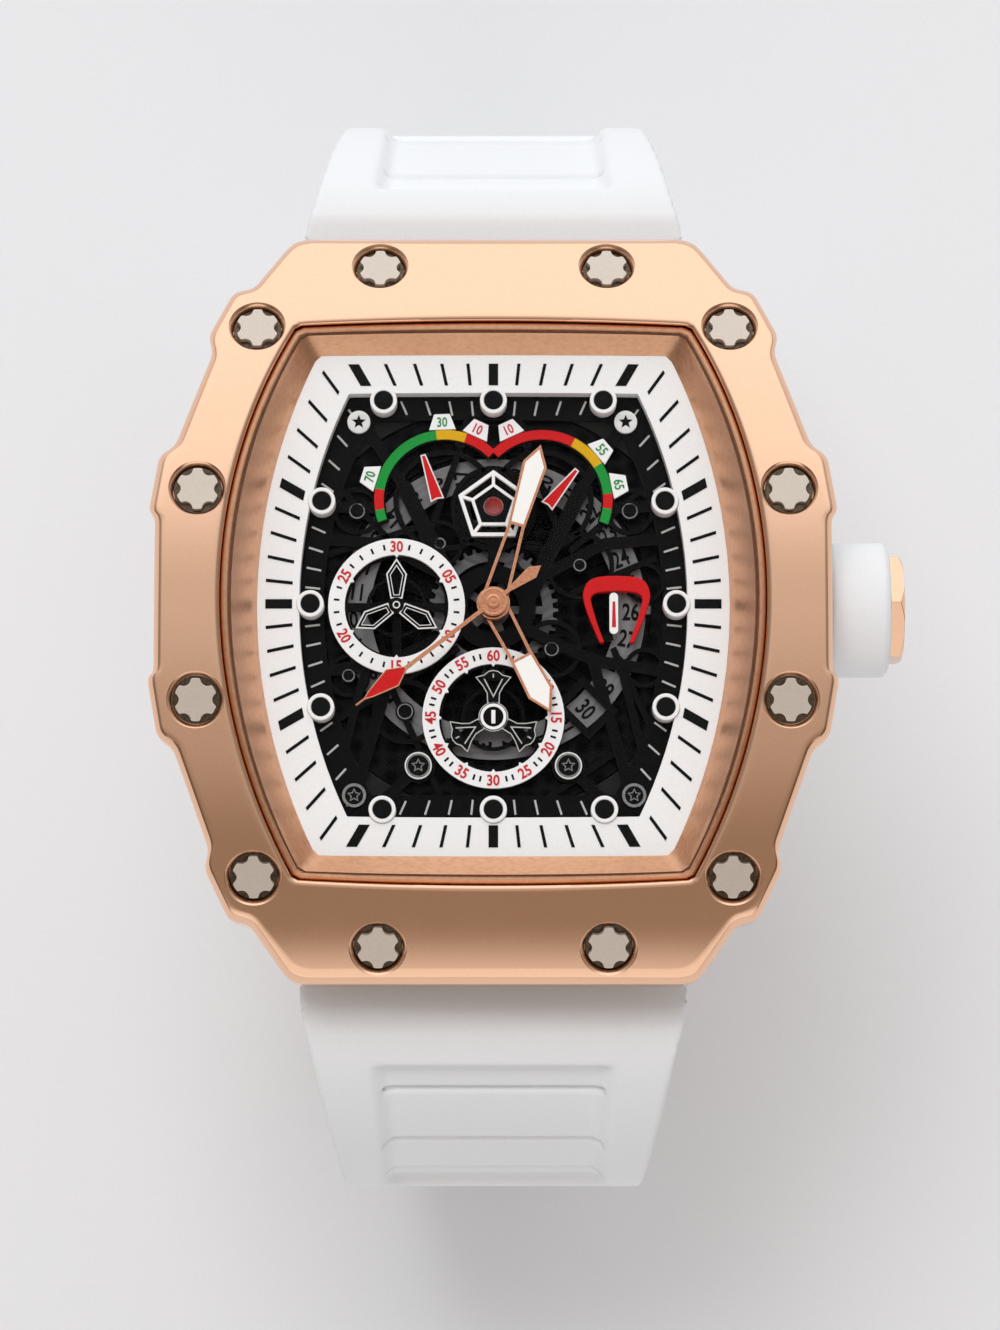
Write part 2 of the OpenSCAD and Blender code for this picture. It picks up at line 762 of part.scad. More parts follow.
module gauge_pointers() {
    color(red) for (n = gauge_needles) {
        l = norm(n[1] - n[0]);
        translate([n[0][0], n[0][1], dial_z]) rotate(atan2(n[1][1] - n[0][1], n[1][0] - n[0][0])) {
            translate([0, 0, dial_t + 0.25]) linear_extrude(0.2)
                polygon([[0, -0.45], [0.1, 0], [0, 0.45], [l, 0.17], [l, -0.17]]);
            linear_extrude(dial_t + 0.25) translate([l * 0.5, 0]) square([l * 0.8, 0.25], center = true);
        }
    }
}

module pentagon(r) polygon([for (i = [0:4]) r * [cos(90 + 72 * i), sin(90 + 72 * i)]]);

module pentagon_bridge() {
    color(white) translate([0, upper_y, 0]) slab(dial_top, dial_top + 0.5) {
        difference() {
            pentagon(pentagon_r);
            pentagon(pentagon_r - 0.28);
        }
        difference() {
            pentagon(pentagon_r - 0.85);
            pentagon(pentagon_r - 1.1);
        }
        for (i = [0:4]) rotate(90 + 72 * i) translate([pentagon_r - 1.15, -0.1]) square([1, 0.2]);
        difference() {
            pentagon(pentagon_r - 1.05);
            circle(jewel_r);
        }
    }
}

module jewel() {
    color(red) translate([0, upper_y, dial_top]) difference() {
        cylinder(r = jewel_r, h = 0.55);
        translate([0, 0, 1.7]) sphere(1.25);
    }
}

module indicator_shape(grow) {
    translate([7.62, 0.9]) circle(1.35 + grow);
    polygon([[6.9 - 0.9 * grow, -2.4], [6.3 - grow, 0.7], [8.94 + grow, 0.7], [8.4 + 0.9 * grow, -2.4]]);
}

module indicator_frame() {
    color(red) slab(dial_top, dial_top + 0.45) difference() {
        indicator_shape(0.5);
        indicator_shape(0);
        translate([7.62, -2.9]) square([3, 1.05], center = true);
    }
    color(red) slab(dial_z, dial_top) difference() {
        indicator_shape(0.3);
        indicator_shape(0.05);
        translate([7.62, -2.9]) square([3, 1.05], center = true);
        dial_bars();
        date_hole(1.2);
    }
}

module indicator_pointer() {
    color(white) slab(dial_top, dial_top + 0.3) bar([7.65, 0.6], [7.65, -1.5], 0.55);
}

// Hands, each drawn pointing to 12 and then turned clockwise to its hour

module turned(angle) rotate(-angle) children();

// Block at the end of a hand, clockwise from its lower left corner
function hand_block(l, y0, ys, w0, w1) = [[-w0 / 2, y0], [-w1 / 2, ys], [0, l], [w1 / 2, ys], [w0 / 2, y0]];
minute_block = hand_block(minute_l, minute_l - 5.4, minute_l - 1.3, 1.1, 1.56);
hour_block = hand_block(hour_l, hour_l - 4.05, hour_l - 1.45, 1.5, 1.7);
chrono_block = hand_block(chrono_l - 1.4, chrono_l - 3.65, chrono_l - 2.6, 0.3, 0.85);
frame_w = 0.17;

// Open frame: two rails from the hub to a block with a window in it
module skeleton_hand(block, hub_w) {
    difference() {
        polygon(block);
        polygon(inset(block, frame_w));
    }
    for (s = [-1, 1]) let (x0 = s * hub_w / 2, x1 = s * (block[4][0] - 0.12), y1 = block[0][1] + 0.12)
        polygon([[x0 - 0.1, 0.3], [x1 - 0.1, y1], [x1 + 0.1, y1], [x0 + 0.1, 0.3]]);
}

module hour_hand() {
    color(rose) turned(hour_angle) difference() {
        union() {
            slab(hour_z, hour_z + hand_t) {
                circle(hub_r);
                skeleton_hand(hour_block, 1.5);
            }
            slab(wheel_z + wheel_t + gap, hour_z + eps) circle(hour_tube_r);
        }
        cylinder(r = hour_bore_r, h = case_h);
    }
}

module hour_lume() {
    color(white) turned(hour_angle) slab(hour_z, hour_z + hand_t) polygon(inset(hour_block, frame_w));
}

module minute_hand() {
    color(rose) turned(minute_angle) difference() {
        union() {
            slab(minute_z, minute_z + hand_t) circle(hub_r);
            slab(minute_z, minute_z + hand_t) skeleton_hand(minute_block, 1.45);
        }
        cylinder(r = minute_tube_r, h = case_h);
    }
}

module minute_lume() {
    color(white) turned(minute_angle) slab(minute_z, minute_z + hand_t)
        polygon(inset(minute_block, frame_w));
}

module chrono_hand() {
    tail = 3.8;
    color(rose) turned(chrono_angle) {
        slab(chrono_z, chrono_z + hand_t) {
            circle(hub_r - 0.15);
            bar([0, -tail + 1], [0, chrono_block[0][1] + 0.05], 0.26);
            difference() {
                polygon(chrono_block);
                polygon(inset(chrono_block, 0.08));
            }
            bar([0, chrono_block[2][1] - 0.1], [0, chrono_l - 0.06], 0.12);
            polygon([[-0.15, -1.4], [-0.42, -tail + 0.7], [0, -tail], [0.42, -tail + 0.7], [0.15, -1.4]]);
        }
        slab(chrono_z, chrono_z + 0.42) circle(0.45);
        slab(plate_z + 0.2, chrono_z + 0.1) circle(chrono_arbor_r);
    }
}

module chrono_tip() {
    color(red) turned(chrono_angle) slab(chrono_z, chrono_z + hand_t) polygon(inset(chrono_block, 0.08));
}

module subhand_arbor() slab(plate_z + 0.2, subhand_z + hand_t / 2) circle(0.2);

counter_arm = [[-0.38, 0.4], [-0.66, 0.66 * subhand_l], [0, subhand_l], [0.66, 0.66 * subhand_l], [0.38, 0.4]];

module counter_hand() {
    color(white) translate([counter_x, 0, 0]) {
        slab(subhand_z, subhand_z + hand_t) {
            circle(0.55);
            for (i = [0:2]) rotate(120 * i) difference() {
                polygon(counter_arm);
                polygon(inset(counter_arm, 0.15));
            }
        }
        subhand_arbor();
    }
}

seconds_arm = [[-0.4, 0.85], [-0.43, 0.5 * subhand_l], [-0.68, 0.65 * subhand_l], [-1.17, 0.85 * subhand_l],
    [-0.6, 0.9 * subhand_l], [-0.32, 0.98 * subhand_l], [0, subhand_l], [0.32, 0.98 * subhand_l],
    [0.6, 0.9 * subhand_l], [1.17, 0.85 * subhand_l], [0.68, 0.65 * subhand_l],
    [0.43, 0.5 * subhand_l], [0.4, 0.85]];

module small_seconds_hand() {
    color(black) translate([0, seconds_y, 0]) {
        slab(subhand_z, subhand_z + hand_t) {
            circle(0.95);
            for (i = [0:2]) rotate(120 * i) difference() {
                polygon(seconds_arm);
                polygon([[0, 0.47 * subhand_l], [-0.48, 0.77 * subhand_l], [0.48, 0.77 * subhand_l]]);
            }
        }
        slab(subhand_z + hand_t, subhand_z + hand_t + 0.08) annulus(0.83, 0.22);
        subhand_arbor();
    }
}

// Crown

module crown_tube() {
    color(rose) difference() {
        rod([0, crown_z], tube_r, flange_hw + 0.7, sleeve_x + crown_l - 0.9);
        rod([0, crown_z], stem_r + running, 0, sleeve_x + crown_l);
    }
}

module crown_gasket() {
    color(black) difference() {
        rod([0, crown_z], crown_bore_r - running, sleeve_x + 0.9, sleeve_x + 1.4);
        rod([0, crown_z], tube_r + running, sleeve_x, sleeve_x + 2);
    }
}

module crown_stem() {
    color(steel) rod([0, crown_z], stem_r, movement_r - 4, cap_x - 0.5);
}

module crown_sleeve() {
    color(white) translate([sleeve_x, 0, crown_z]) rotate([0, 90, 0]) rotate_extrude()
        polygon([[2.9, 0], [crown_r - 0.2, 0], [crown_r, 0.2], [crown_r, crown_l - 0.35],
            [crown_r - 0.35, crown_l], [2.9, crown_l]]);
}

module crown_cap() {
    across = cap_w / 2 / cos(30);
    color(rose) difference() {
        union() {
            rod([0, crown_z], 2.9, sleeve_x + 0.1, cap_x);
            translate([cap_x, 0, crown_z]) rotate([0, 90, 0]) intersection() {
                cylinder(r = across, h = 0.9, $fn = 6);
                rotate_extrude() polygon([[0, 0], [across, 0], [across, 0.6], [across - 0.45, 0.9], [0, 0.9]]);
            }
        }
        rod([0, crown_z], crown_bore_r, sleeve_x - 1, cap_x - 0.5);
    }
}

// Strap

// Ring sector about the X axis from angle a0 to a1, turned from +Y towards +Z
module sector(y, r0, r1, hw0, hw1, a0, a1) {
    translate([0, y, loop_z]) rotate([90, 0, 90]) rotate(a0) rotate_extrude(angle = a1 - a0, $fn = 360)
        polygon([[r0, -hw0], [r1, -hw1], [r1, hw1], [r0, hw0]]);
}

// Sector between two x values, the same on both sides
module side_sector(r0, r1, x0, x1, a0, a1) {
    both_sides() translate([0, 0, loop_z]) rotate([90, 0, 90]) rotate(a0)
        rotate_extrude(angle = a1 - a0, $fn = 360) translate([r0, x0]) square([r1 - r0, x1 - x0]);
}

tongue_hw = 6.4;
ear_x = tongue_hw + 0.4;
head_a = 60.5;
window_a = 52;

module strap_taper() {
    half = [[strap_hw, 8], [strap_hw, 1.5], [strap_mid_hw, loop_z - 4], [strap_end_hw, loop_z - 16],
        [strap_end_hw, loop_z - 40]];
    translate([0, 50, 0]) rotate([90, 0, 0]) linear_extrude(100)
        polygon(concat(half, [for (p = reversed(half)) [-p[0], p[1]]]));
}

// Half of the strap on the +Y side, ending in a tongue at angle bar_a from straight down
module strap_half(bar_a) {
    hub = [lug_y, lug_z];
    side_in_r = side_r - strap_t;
    outer = [side_y, loop_z] + side_r * [cos(head_a), sin(head_a)];
    inner = [side_y, loop_z] + side_in_r * [cos(head_a - 16), sin(head_a - 16)];
    end_a = bar_a + 5.4;
    floor_hw = window_hw - 1.15;
    groove_hw = floor_hw - 0.25;
    bar_at = loop_at(bar_ring_r, bar_a);
    difference() {
        intersection() {
            union() {
                sector(side_y, side_in_r + 0.03, side_r - 0.03, 20, 20, -2, head_a);
                sector(0, loop_in_r, loop_r, 20, 20, end_a - 90, 0);
                translate([-20, 0, 0]) rotate([90, 0, 90]) linear_extrude(40)
                    polygon([hub + [-0.1, 2.14], outer, inner, hub + [1.5, -1.6]]);
                cross_rod(hub, knuckle_r, 20);
                sector(0, bar_ring_r - 1.3, bar_ring_r + 1.3, tongue_hw, tongue_hw, bar_a - 90, end_a - 89);
                cross_rod(bar_at, 1.3, tongue_hw);
            }
            strap_taper();
        }
        cross_rod(hub, lug_bar_r + running, 30);
        cross_rod(hub, knuckle_r + 1, lug_hw + 0.3);
        cross_rod(bar_at, spring_bar_r + running, 30);
        sector(side_y, side_r - window_d, side_r + 0.4, floor_hw, window_hw + 0.5, 1.6, window_a);
        sector(0, loop_r - window_d, loop_r + 0.4, floor_hw, window_hw + 0.5, -38, -1.2);
        for (i = [0:2]) let (a = window_a - 17 * i - 8.5)
            sector(side_y, side_r - window_d - 0.25, side_r - window_d + 0.1, groove_hw, groove_hw, a, a + 1.1);
        for (i = [0:3]) let (a = -9.5 * i - 3)
            sector(0, loop_r - window_d - 0.25, loop_r - window_d + 0.1, groove_hw, groove_hw, a, a + 0.6);
    }
}

module strap_upper() color(white) strap_half(upper_bar_a);

module strap_lower() color(white) mirror([0, 1, 0]) strap_half(-lower_bar_a);

module lug_bars() {
    color(steel) both_ends() cross_rod([lug_y, lug_z], lug_bar_r, strap_hw - 1);
}

module spring_bar_upper() {
    color(steel) cross_rod(loop_at(bar_ring_r, upper_bar_a), spring_bar_r, cover_hw - 0.2);
}

module spring_bar_lower() {
    color(steel) cross_rod(loop_at(bar_ring_r, lower_bar_a), spring_bar_r, cover_hw - 0.2);
}

// Folding clasp

fold_at = loop_at(fold_r, fold_a);
link_at = loop_at(link_r, link_a);
knuckle_in = 1.9;
knuckle_out = knuckle_in + 0.3;
knuckle_room = clasp_knuckle_r + gap;

module outer_knuckles(yz) both_sides() rod(yz, clasp_knuckle_r, knuckle_out, plate_hw - 0.05);

module clasp_base() {
    ears_at = loop_at(bar_ring_r, upper_bar_a);
    color(rose) difference() {
        union() {
            sector(0, base_r, base_r + plate_t, plate_hw, plate_hw, fold_a - 90, upper_bar_a - 94.2);
            outer_knuckles(fold_at);
            side_sector(base_r + 0.05, base_r + plate_t - 0.05, plate_hw - 1, cover_hw - 0.05,
                upper_bar_a - 97, upper_bar_a - 94.6);
            side_sector(base_r + 0.1, base_r + plate_t - 0.1, ear_x + 0.05, cover_hw - 0.1,
                upper_bar_a - 96, upper_bar_a - 90);
            both_sides() rod(ears_at, 1.5, ear_x, cover_hw);
        }
        cross_rod(fold_at, knuckle_room, knuckle_out);
        cross_rod(fold_at, pin_r, 30);
        cross_rod(ears_at, spring_bar_r + running, 30);
    }
}

module clasp_blade() {
    color(rose) difference() {
        union() {
            difference() {
                sector(0, blade_in_r, blade_in_r + plate_t, plate_hw, plate_hw, fold_a - 90, link_a - 90);
                both_sides() rod(fold_at, knuckle_room, knuckle_in, plate_hw + 1);
            }
            cross_rod(fold_at, clasp_knuckle_r, knuckle_in);
            outer_knuckles(link_at);
        }
        cross_rod(fold_at, pin_r + running, 30);
        cross_rod(link_at, knuckle_room, knuckle_out);
        cross_rod(link_at, pin_r, 30);
        for (a = [-14, -5, 4]) translate([0, 0, loop_z]) rotate([a, 0, 0]) translate([0, 0, -blade_in_r - 2])
            cylinder(r = 1.5, h = 4);
    }
}

button_r_at = bar_ring_r + 0.1;
button_at = loop_at(button_r_at, button_a);
housing_x = plate_hw + 0.6;
chamber_x = housing_x + 0.9;
button_x = cover_hw - 0.6;
button_stem_r = 0.6;

module clasp_cover() {
    hook_at = loop_at(bar_ring_r, lower_bar_a);
    hook_r = spring_bar_r + gap;
    arm_a = lower_bar_a - 90;
    color(rose) difference() {
        union() {
            difference() {
                sector(0, cover_in_r, cover_out_r, cover_hw, cover_hw, -117, link_a - 88);
                both_sides() rod(link_at, knuckle_room, knuckle_in, plate_hw + gap);
            }
            cross_rod(link_at, clasp_knuckle_r, knuckle_in);
            side_sector(base_r + 0.1, cover_in_r + 0.1, housing_x, cover_hw, button_a - 94, button_a - 86);
            side_sector(cover_in_r - 0.6, cover_out_r - 1, ear_x + 0.05, cover_hw - 0.05, arm_a, -116);
            both_sides() rod(hook_at, hook_r + 0.75, ear_x, cover_hw);
        }
        translate([-30, -30, cover_floor - 20]) cube([60, 60, 20]);
        cross_rod(link_at, pin_r + running, 30);
        cross_rod(hook_at, hook_r, 30);
        translate([0, hook_at[0], hook_at[1]]) rotate([45, 0, 0]) translate([-30, -hook_r, 0])
            cube([60, 2 * hook_r, 4]);
        cross_rod(button_at, button_stem_r + running, 30);
        both_sides() rod(button_at, button_r + running, chamber_x, cover_hw + 1);
    }
}

module base_pin() color(steel) cross_rod(fold_at, pin_r, plate_hw);

module blade_pin() color(steel) cross_rod(link_at, pin_r, plate_hw);

module button_right() {
    color(rose) {
        rod(button_at, button_r, button_x, cover_hw + 0.9);
        rod(button_at, button_stem_r, housing_x + 0.3, button_x + eps);
    }
}

module button_left() mirror([1, 0, 0]) button_right();

// Unbroken coil along X, as one tube
module coil(r, wire, l, turns) {
    steps = 8 * turns;
    sides = 6;
    ring = [for (k = [0:sides - 1]) wire * [cos(60 * k), sin(60 * k)]];
    points = [for (i = [0:steps]) let (a = 45 * i) for (q = ring)
        [wire + (l - 2 * wire) * i / steps + q[1], (r + q[0]) * cos(a), (r + q[0]) * sin(a)]];
    faces = concat([[for (k = [0:sides - 1]) k]], [[for (k = [sides - 1:-1:0]) steps * sides + k]],
        [for (i = [0:steps - 1]) for (k = [0:sides - 1]) let (a = i * sides, j = (k + 1) % sides)
            each [[a + k, a + sides + k, a + sides + j], [a + k, a + sides + j, a + j]]]);
    polyhedron(points = points, faces = faces);
}

module button_springs() {
    room = button_x - button_travel - chamber_x;
    color(steel) both_sides() translate([chamber_x + 0.02, button_at[0], button_at[1]])
        coil(0.92, 0.12, room - 0.04, 3);
}

bezel();
bezel_screws();
crystal();
crystal_gasket();
inner_ring();
case_middle();
case_back();
case_back_gasket();
case_back_screws();
movement_holder();
main_plate();
battery_cell();
circuit_board();
drive_coil();
train_bridge();
dial_plate();
dial_screws();
dial_flange();
minute_ticks();
hour_posts();
counter_ring();
seconds_ring();
gauge_green();
gauge_yellow();
gauge_red();
gauge_labels();
gauge_pointers();
pentagon_bridge();
jewel();
indicator_frame();
indicator_pointer();
date_ring();
centre_wheel();
upper_wheel();
hour_hand();
hour_lume();
minute_hand();
minute_lume();
chrono_hand();
chrono_tip();
counter_hand();
small_seconds_hand();
crown_tube();
crown_gasket();
crown_stem();
crown_sleeve();
crown_cap();
strap_upper();
strap_lower();
lug_bars();
spring_bar_upper();
spring_bar_lower();
clasp_base();
clasp_blade();
clasp_cover();
base_pin();
blade_pin();
button_left();
button_right();
button_springs();
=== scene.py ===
"""Looks of a skeleton wristwatch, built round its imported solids.

The watch stands on its clasp with its dial upwards: +Z leaves the dial, +Y points to 12 o'clock and
+X to the crown. The classes hold their sizes in millimetres, and the meshes are in metres.
"""

from __future__ import annotations

import json
import logging
import math
from collections.abc import Iterable, Sequence
from dataclasses import dataclass
from enum import Enum

import bpy
from mathutils import Matrix, Vector

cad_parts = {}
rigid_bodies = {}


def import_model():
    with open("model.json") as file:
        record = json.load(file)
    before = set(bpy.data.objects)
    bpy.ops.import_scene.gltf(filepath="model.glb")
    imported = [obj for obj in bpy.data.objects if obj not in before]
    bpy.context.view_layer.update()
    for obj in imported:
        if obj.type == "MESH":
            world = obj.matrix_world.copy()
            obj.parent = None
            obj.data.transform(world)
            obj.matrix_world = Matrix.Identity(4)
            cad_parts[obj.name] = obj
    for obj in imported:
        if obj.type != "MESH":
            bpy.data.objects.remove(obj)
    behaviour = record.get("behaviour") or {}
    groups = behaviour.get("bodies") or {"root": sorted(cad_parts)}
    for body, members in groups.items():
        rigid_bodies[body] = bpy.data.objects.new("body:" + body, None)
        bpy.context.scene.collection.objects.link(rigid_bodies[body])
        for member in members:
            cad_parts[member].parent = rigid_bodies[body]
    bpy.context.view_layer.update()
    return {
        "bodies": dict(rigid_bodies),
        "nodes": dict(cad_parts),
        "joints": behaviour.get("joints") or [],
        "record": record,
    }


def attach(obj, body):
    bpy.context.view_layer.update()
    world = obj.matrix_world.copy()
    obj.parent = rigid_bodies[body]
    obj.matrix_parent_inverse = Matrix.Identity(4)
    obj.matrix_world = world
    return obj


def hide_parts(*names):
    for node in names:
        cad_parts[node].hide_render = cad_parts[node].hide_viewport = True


LOG = logging.getLogger("watch")
MM = 0.001
QUARTERS = tuple((x, y) for x in (-1, 1) for y in (-1, 1))
Point = tuple[float, float]
Place = tuple[float, float, float]
Outline = Sequence[Point]
Row = list[Place]
Item = bpy.types.Object
Tree = bpy.types.NodeTree
Node = bpy.types.Node


class Pattern(Enum):
    """Relief and tone that break a surface up."""

    GRAIN = "fine grain"
    BRUSHED = "straight brushing"
    SPUN = "turned circles"
    PEARLED = "overlapping polished spots"


def linear(colour: Place) -> tuple[float, ...]:
    """Turn a colour of 0 to 255 into a linear one with full cover."""
    shares = (c / 255 for c in colour)
    return (*(c / 12.92 if c <= 0.04045 else ((c + 0.055) / 1.055) ** 2.4 for c in shares), 1)


class Wiring:
    """Places and links the nodes of one tree."""

    def __init__(self, tree: Tree) -> None:
        """Hold the tree."""
        self.tree = tree

    def add(self, kind: str, inputs: dict[int | str, object] | None = None, **settings: object) -> Node:
        """Place a node.

        Args:
            kind: Its type, where the leading ShaderNode may be left off.
            inputs: What each input holds, or the node or socket that feeds it.
            settings: Its other settings, which come first.

        Returns:
            The node.
        """
        made = self.tree.nodes.new(kind if kind.startswith("Node") else f"ShaderNode{kind}")
        for name, value in settings.items():
            setattr(made, name, value)
        self.feed(made, inputs or {})
        return made

    def feed(self, node: Node, inputs: dict[int | str, object]) -> None:
        """Fill or link a node's inputs.

        Args:
            node: The node.
            inputs: What each input holds, or the node or socket that feeds it.
        """
        for name, value in inputs.items():
            if isinstance(value, Node):
                value = value.outputs[0]
            if isinstance(value, bpy.types.NodeSocket):
                self.tree.links.new(value, node.inputs[name])
            else:
                node.inputs[name].default_value = value


class PatternBook:
    """The shader node groups that more than one finish places, each made once."""

    @staticmethod
    def _start(name: str, **inputs: object) -> Wiring:
        """Begin a node group, whose first output is a mask.

        Args:
            name: Its name.
            inputs: What its inputs are called and hold.

        Returns:
            The wiring of its tree.
        """
        tree = bpy.data.node_groups.new(name, "ShaderNodeTree")
        for key, value in inputs.items():
            kind = "NodeSocketVector" if isinstance(value, tuple) else "NodeSocketFloat"
            tree.interface.new_socket(name=key, in_out="INPUT", socket_type=kind).default_value = value
        tree.interface.new_socket(name="Mask", in_out="OUTPUT", socket_type="NodeSocketFloat")
        return Wiring(tree)

    def group(self, pattern: Pattern) -> Tree:
        """Return a pattern's node group, which is made at its first use.

        Args:
            pattern: The pattern that is asked for.

        Returns:
            Its node group.
        """
        name = pattern.value.title()
        if name in bpy.data.node_groups:
            return bpy.data.node_groups[name]
        wires = self._start(name, Scale=4000.0, Stretch=(1.0, 1.0, 1.0), Centre=(0.0, 0.0, 0.0))
        wires.tree.interface.new_socket(name="Height", in_out="OUTPUT", socket_type="NodeSocketFloat")
        given, result = wires.add("NodeGroupInput").outputs, wires.add("NodeGroupOutput")
        place = wires.add("TexCoord").outputs["Object"]
        moved = wires.add("VectorMath", {0: place, 1: given["Centre"]}, operation="SUBTRACT")
        drawn = wires.add("VectorMath", {0: moved, 1: given["Stretch"]}, operation="MULTIPLY")
        if pattern is Pattern.PEARLED:
            cells = wires.add("TexVoronoi", {"Randomness": 0.25, "Vector": drawn, "Scale": given["Scale"]})
            rings = wires.add("Math", {0: cells, 1: 28}, operation="MULTIPLY")
            wires.feed(result, {"Mask": cells, "Height": wires.add("Math", {0: rings}, operation="SINE")})
            return wires.tree
        if pattern is Pattern.SPUN:
            length = wires.add("VectorMath", {0: drawn}, operation="LENGTH")
            drawn = wires.add("CombineXYZ", {"X": length.outputs["Value"]})
        noise = wires.add("TexNoise", {"Detail": 3, "Scale": given["Scale"], "Vector": drawn})
        wires.feed(result, {"Mask": noise, "Height": noise})
        return wires.tree

    def edges(self) -> Tree:
        """Return the group that finds a piece's edges, along which light and shade are painted.

        Returns:
            The node group, with a radius and a mask.
        """
        name = "Worn Edges"
        if name not in bpy.data.node_groups:
            wires = self._start(name, Radius=1e-4)
            given, result = wires.add("NodeGroupInput"), wires.add("NodeGroupOutput")
            rounded = wires.add("Bevel", {"Radius": given}, samples=4)
            flat = wires.add("NewGeometry").outputs["Normal"]
            match = wires.add("VectorMath", {0: rounded, 1: flat}, operation="DOT_PRODUCT")
            found = {"Value": match.outputs["Value"], "From Min": 0.995, "From Max": 0.8}
            wires.feed(result, {"Mask": wires.add("MapRange", found)})
        return bpy.data.node_groups[name]


BOOK = PatternBook()


@dataclass(frozen=True)
class Relief:
    """One pattern with its own values in a finish.

    Attributes:
        pattern: Which pattern group is used.
        scale: Features in one metre.
        stretch: How far the pattern is drawn out along each axis.
        depth: Height of the relief, in metres.
        centre: Middle of turned circles, in millimetres.
    """

    pattern: Pattern = Pattern.GRAIN
    scale: float = 4000
    stretch: Place = (1, 1, 1)
    depth: float = 2e-6
    centre: Place = (0, 0, 0)

    def place(self, wires: Wiring) -> Node:
        """Place the pattern's group in a material's tree."""
        values = {"Scale": self.scale, "Stretch": self.stretch, "Centre": [c * MM for c in self.centre]}
        return wires.add("Group", values, node_tree=BOOK.group(self.pattern))


@dataclass(frozen=True)
class Surface:
    """What a piece is dressed in.

    Attributes:
        name: Name of the material.
    """

    name: str

    def material(self) -> bpy.types.Material:
        """Return the surface as a material, made at its first use.

        Returns:
            The material.
        """
        made = bpy.data.materials.get(self.name)
        if made is None:
            made = bpy.data.materials.new(self.name)
            made.use_nodes = True
            self._fill(Wiring(made.node_tree))
        return made

    def _fill(self, wires: Wiring) -> None:
        """Build the material's nodes, as each kind of surface does."""
        raise NotImplementedError


@dataclass(frozen=True)
class Finish(Surface):
    """A surface with a broken-up tone, gloss and relief. Its colours run from 0 to 255.

    Attributes:
        tone: Main colour.
        shade: Colour in the pattern's low places.
        rough: Roughness in the pattern's low and high places.
        metallic: 1 for bare metal.
        coat: Weight of a clear coat.
        sheen: Weight of a soft sheen.
        relief: The pattern, its scale and its depth.
        wear: How much a broad cloudiness changes the gloss.
        specular: Level of the plain shine of what isn't metal.
        worn: Colour painted along the edges: a painted highlight where it is lighter than the tone, painted
            shade where it is darker.
        edge: How strongly that colour shows there.
        reach: Width of the band where the edge colour is painted, in metres.
    """

    tone: Place
    shade: Place
    rough: Point = (0.35, 0.45)
    metallic: float = 0.0
    coat: float = 0.0
    sheen: float = 0.0
    relief: Relief = Relief()
    wear: float = 0.06
    specular: float = 0.5
    worn: Place = (230, 230, 230)
    edge: float = 0.0
    reach: float = 1e-4

    def _fill(self, wires: Wiring) -> None:
        """Build the material's nodes.

        Args:
            wires: The wiring of its tree.
        """
        pattern = self.relief.place(wires)
        clouds = Relief(scale=220, depth=0).place(wires)
        spread = wires.add("MapRange", {"From Min": 0.3, "From Max": 0.6, "Value": pattern})
        colours = {"A": linear(self.shade), "B": linear(self.tone), "Factor": spread}
        colour = wires.add("Mix", colours, data_type="RGBA").outputs["Result"]
        # Edge colour: a painted highlight on the metals and the black plate, painted shade on the white
        # silicone and resin.
        if self.edge:
            rim = wires.add("Group", {"Radius": self.reach}, node_tree=BOOK.edges())
            share = wires.add("Math", {0: rim, 1: self.edge}, operation="MULTIPLY")
            colours = {"A": colour, "B": linear(self.worn), "Factor": share}
            colour = wires.add("Mix", colours, data_type="RGBA").outputs["Result"]
        gloss = wires.add("MapRange", {"To Min": self.rough[0], "To Max": self.rough[1], "Value": pattern})
        cloudy = wires.add("MapRange", {"To Min": -self.wear, "To Max": self.wear, "Value": clouds})
        depth = {"Distance": self.relief.depth, "Height": pattern.outputs["Height"]}
        wires.feed(wires.tree.nodes["Principled BSDF"], {
            "Base Color": colour, "Metallic": self.metallic, "Specular IOR Level": self.specular,
            "Coat Weight": self.coat, "Coat Roughness": 0.08, "Sheen Weight": self.sheen,
            "Sheen Roughness": 0.5, "Roughness": wires.add("Math", {0: gloss, 1: cloudy}, use_clamp=True),
            "Normal": wires.add("Bump", depth),
        })


@dataclass(frozen=True)
class Glass(Surface):
    """Clear glass that only mirrors a little and never bends the view."""

    def _fill(self, wires: Wiring) -> None:
        """Build the material's nodes.

        Args:
            wires: The wiring of its tree.
        """
        nodes = wires.tree.nodes
        nodes.remove(nodes["Principled BSDF"])
        clear = wires.add("BsdfTransparent", {"Color": (1, 1, 1, 1)})
        shine = wires.add("BsdfGlossy", {"Color": (0.8, 0.8, 0.8, 1), "Roughness": 0.04})
        back = wires.add("NewGeometry").outputs["Backfacing"]
        edge = {0: wires.add("Fresnel", {"IOR": 1.1}), 1: back}
        front = wires.add("Math", edge, operation="SUBTRACT", use_clamp=True)
        mix = wires.add("MixShader", {0: front, 1: clear, 2: shine})
        wires.feed(nodes["Material Output"], {"Surface": mix})


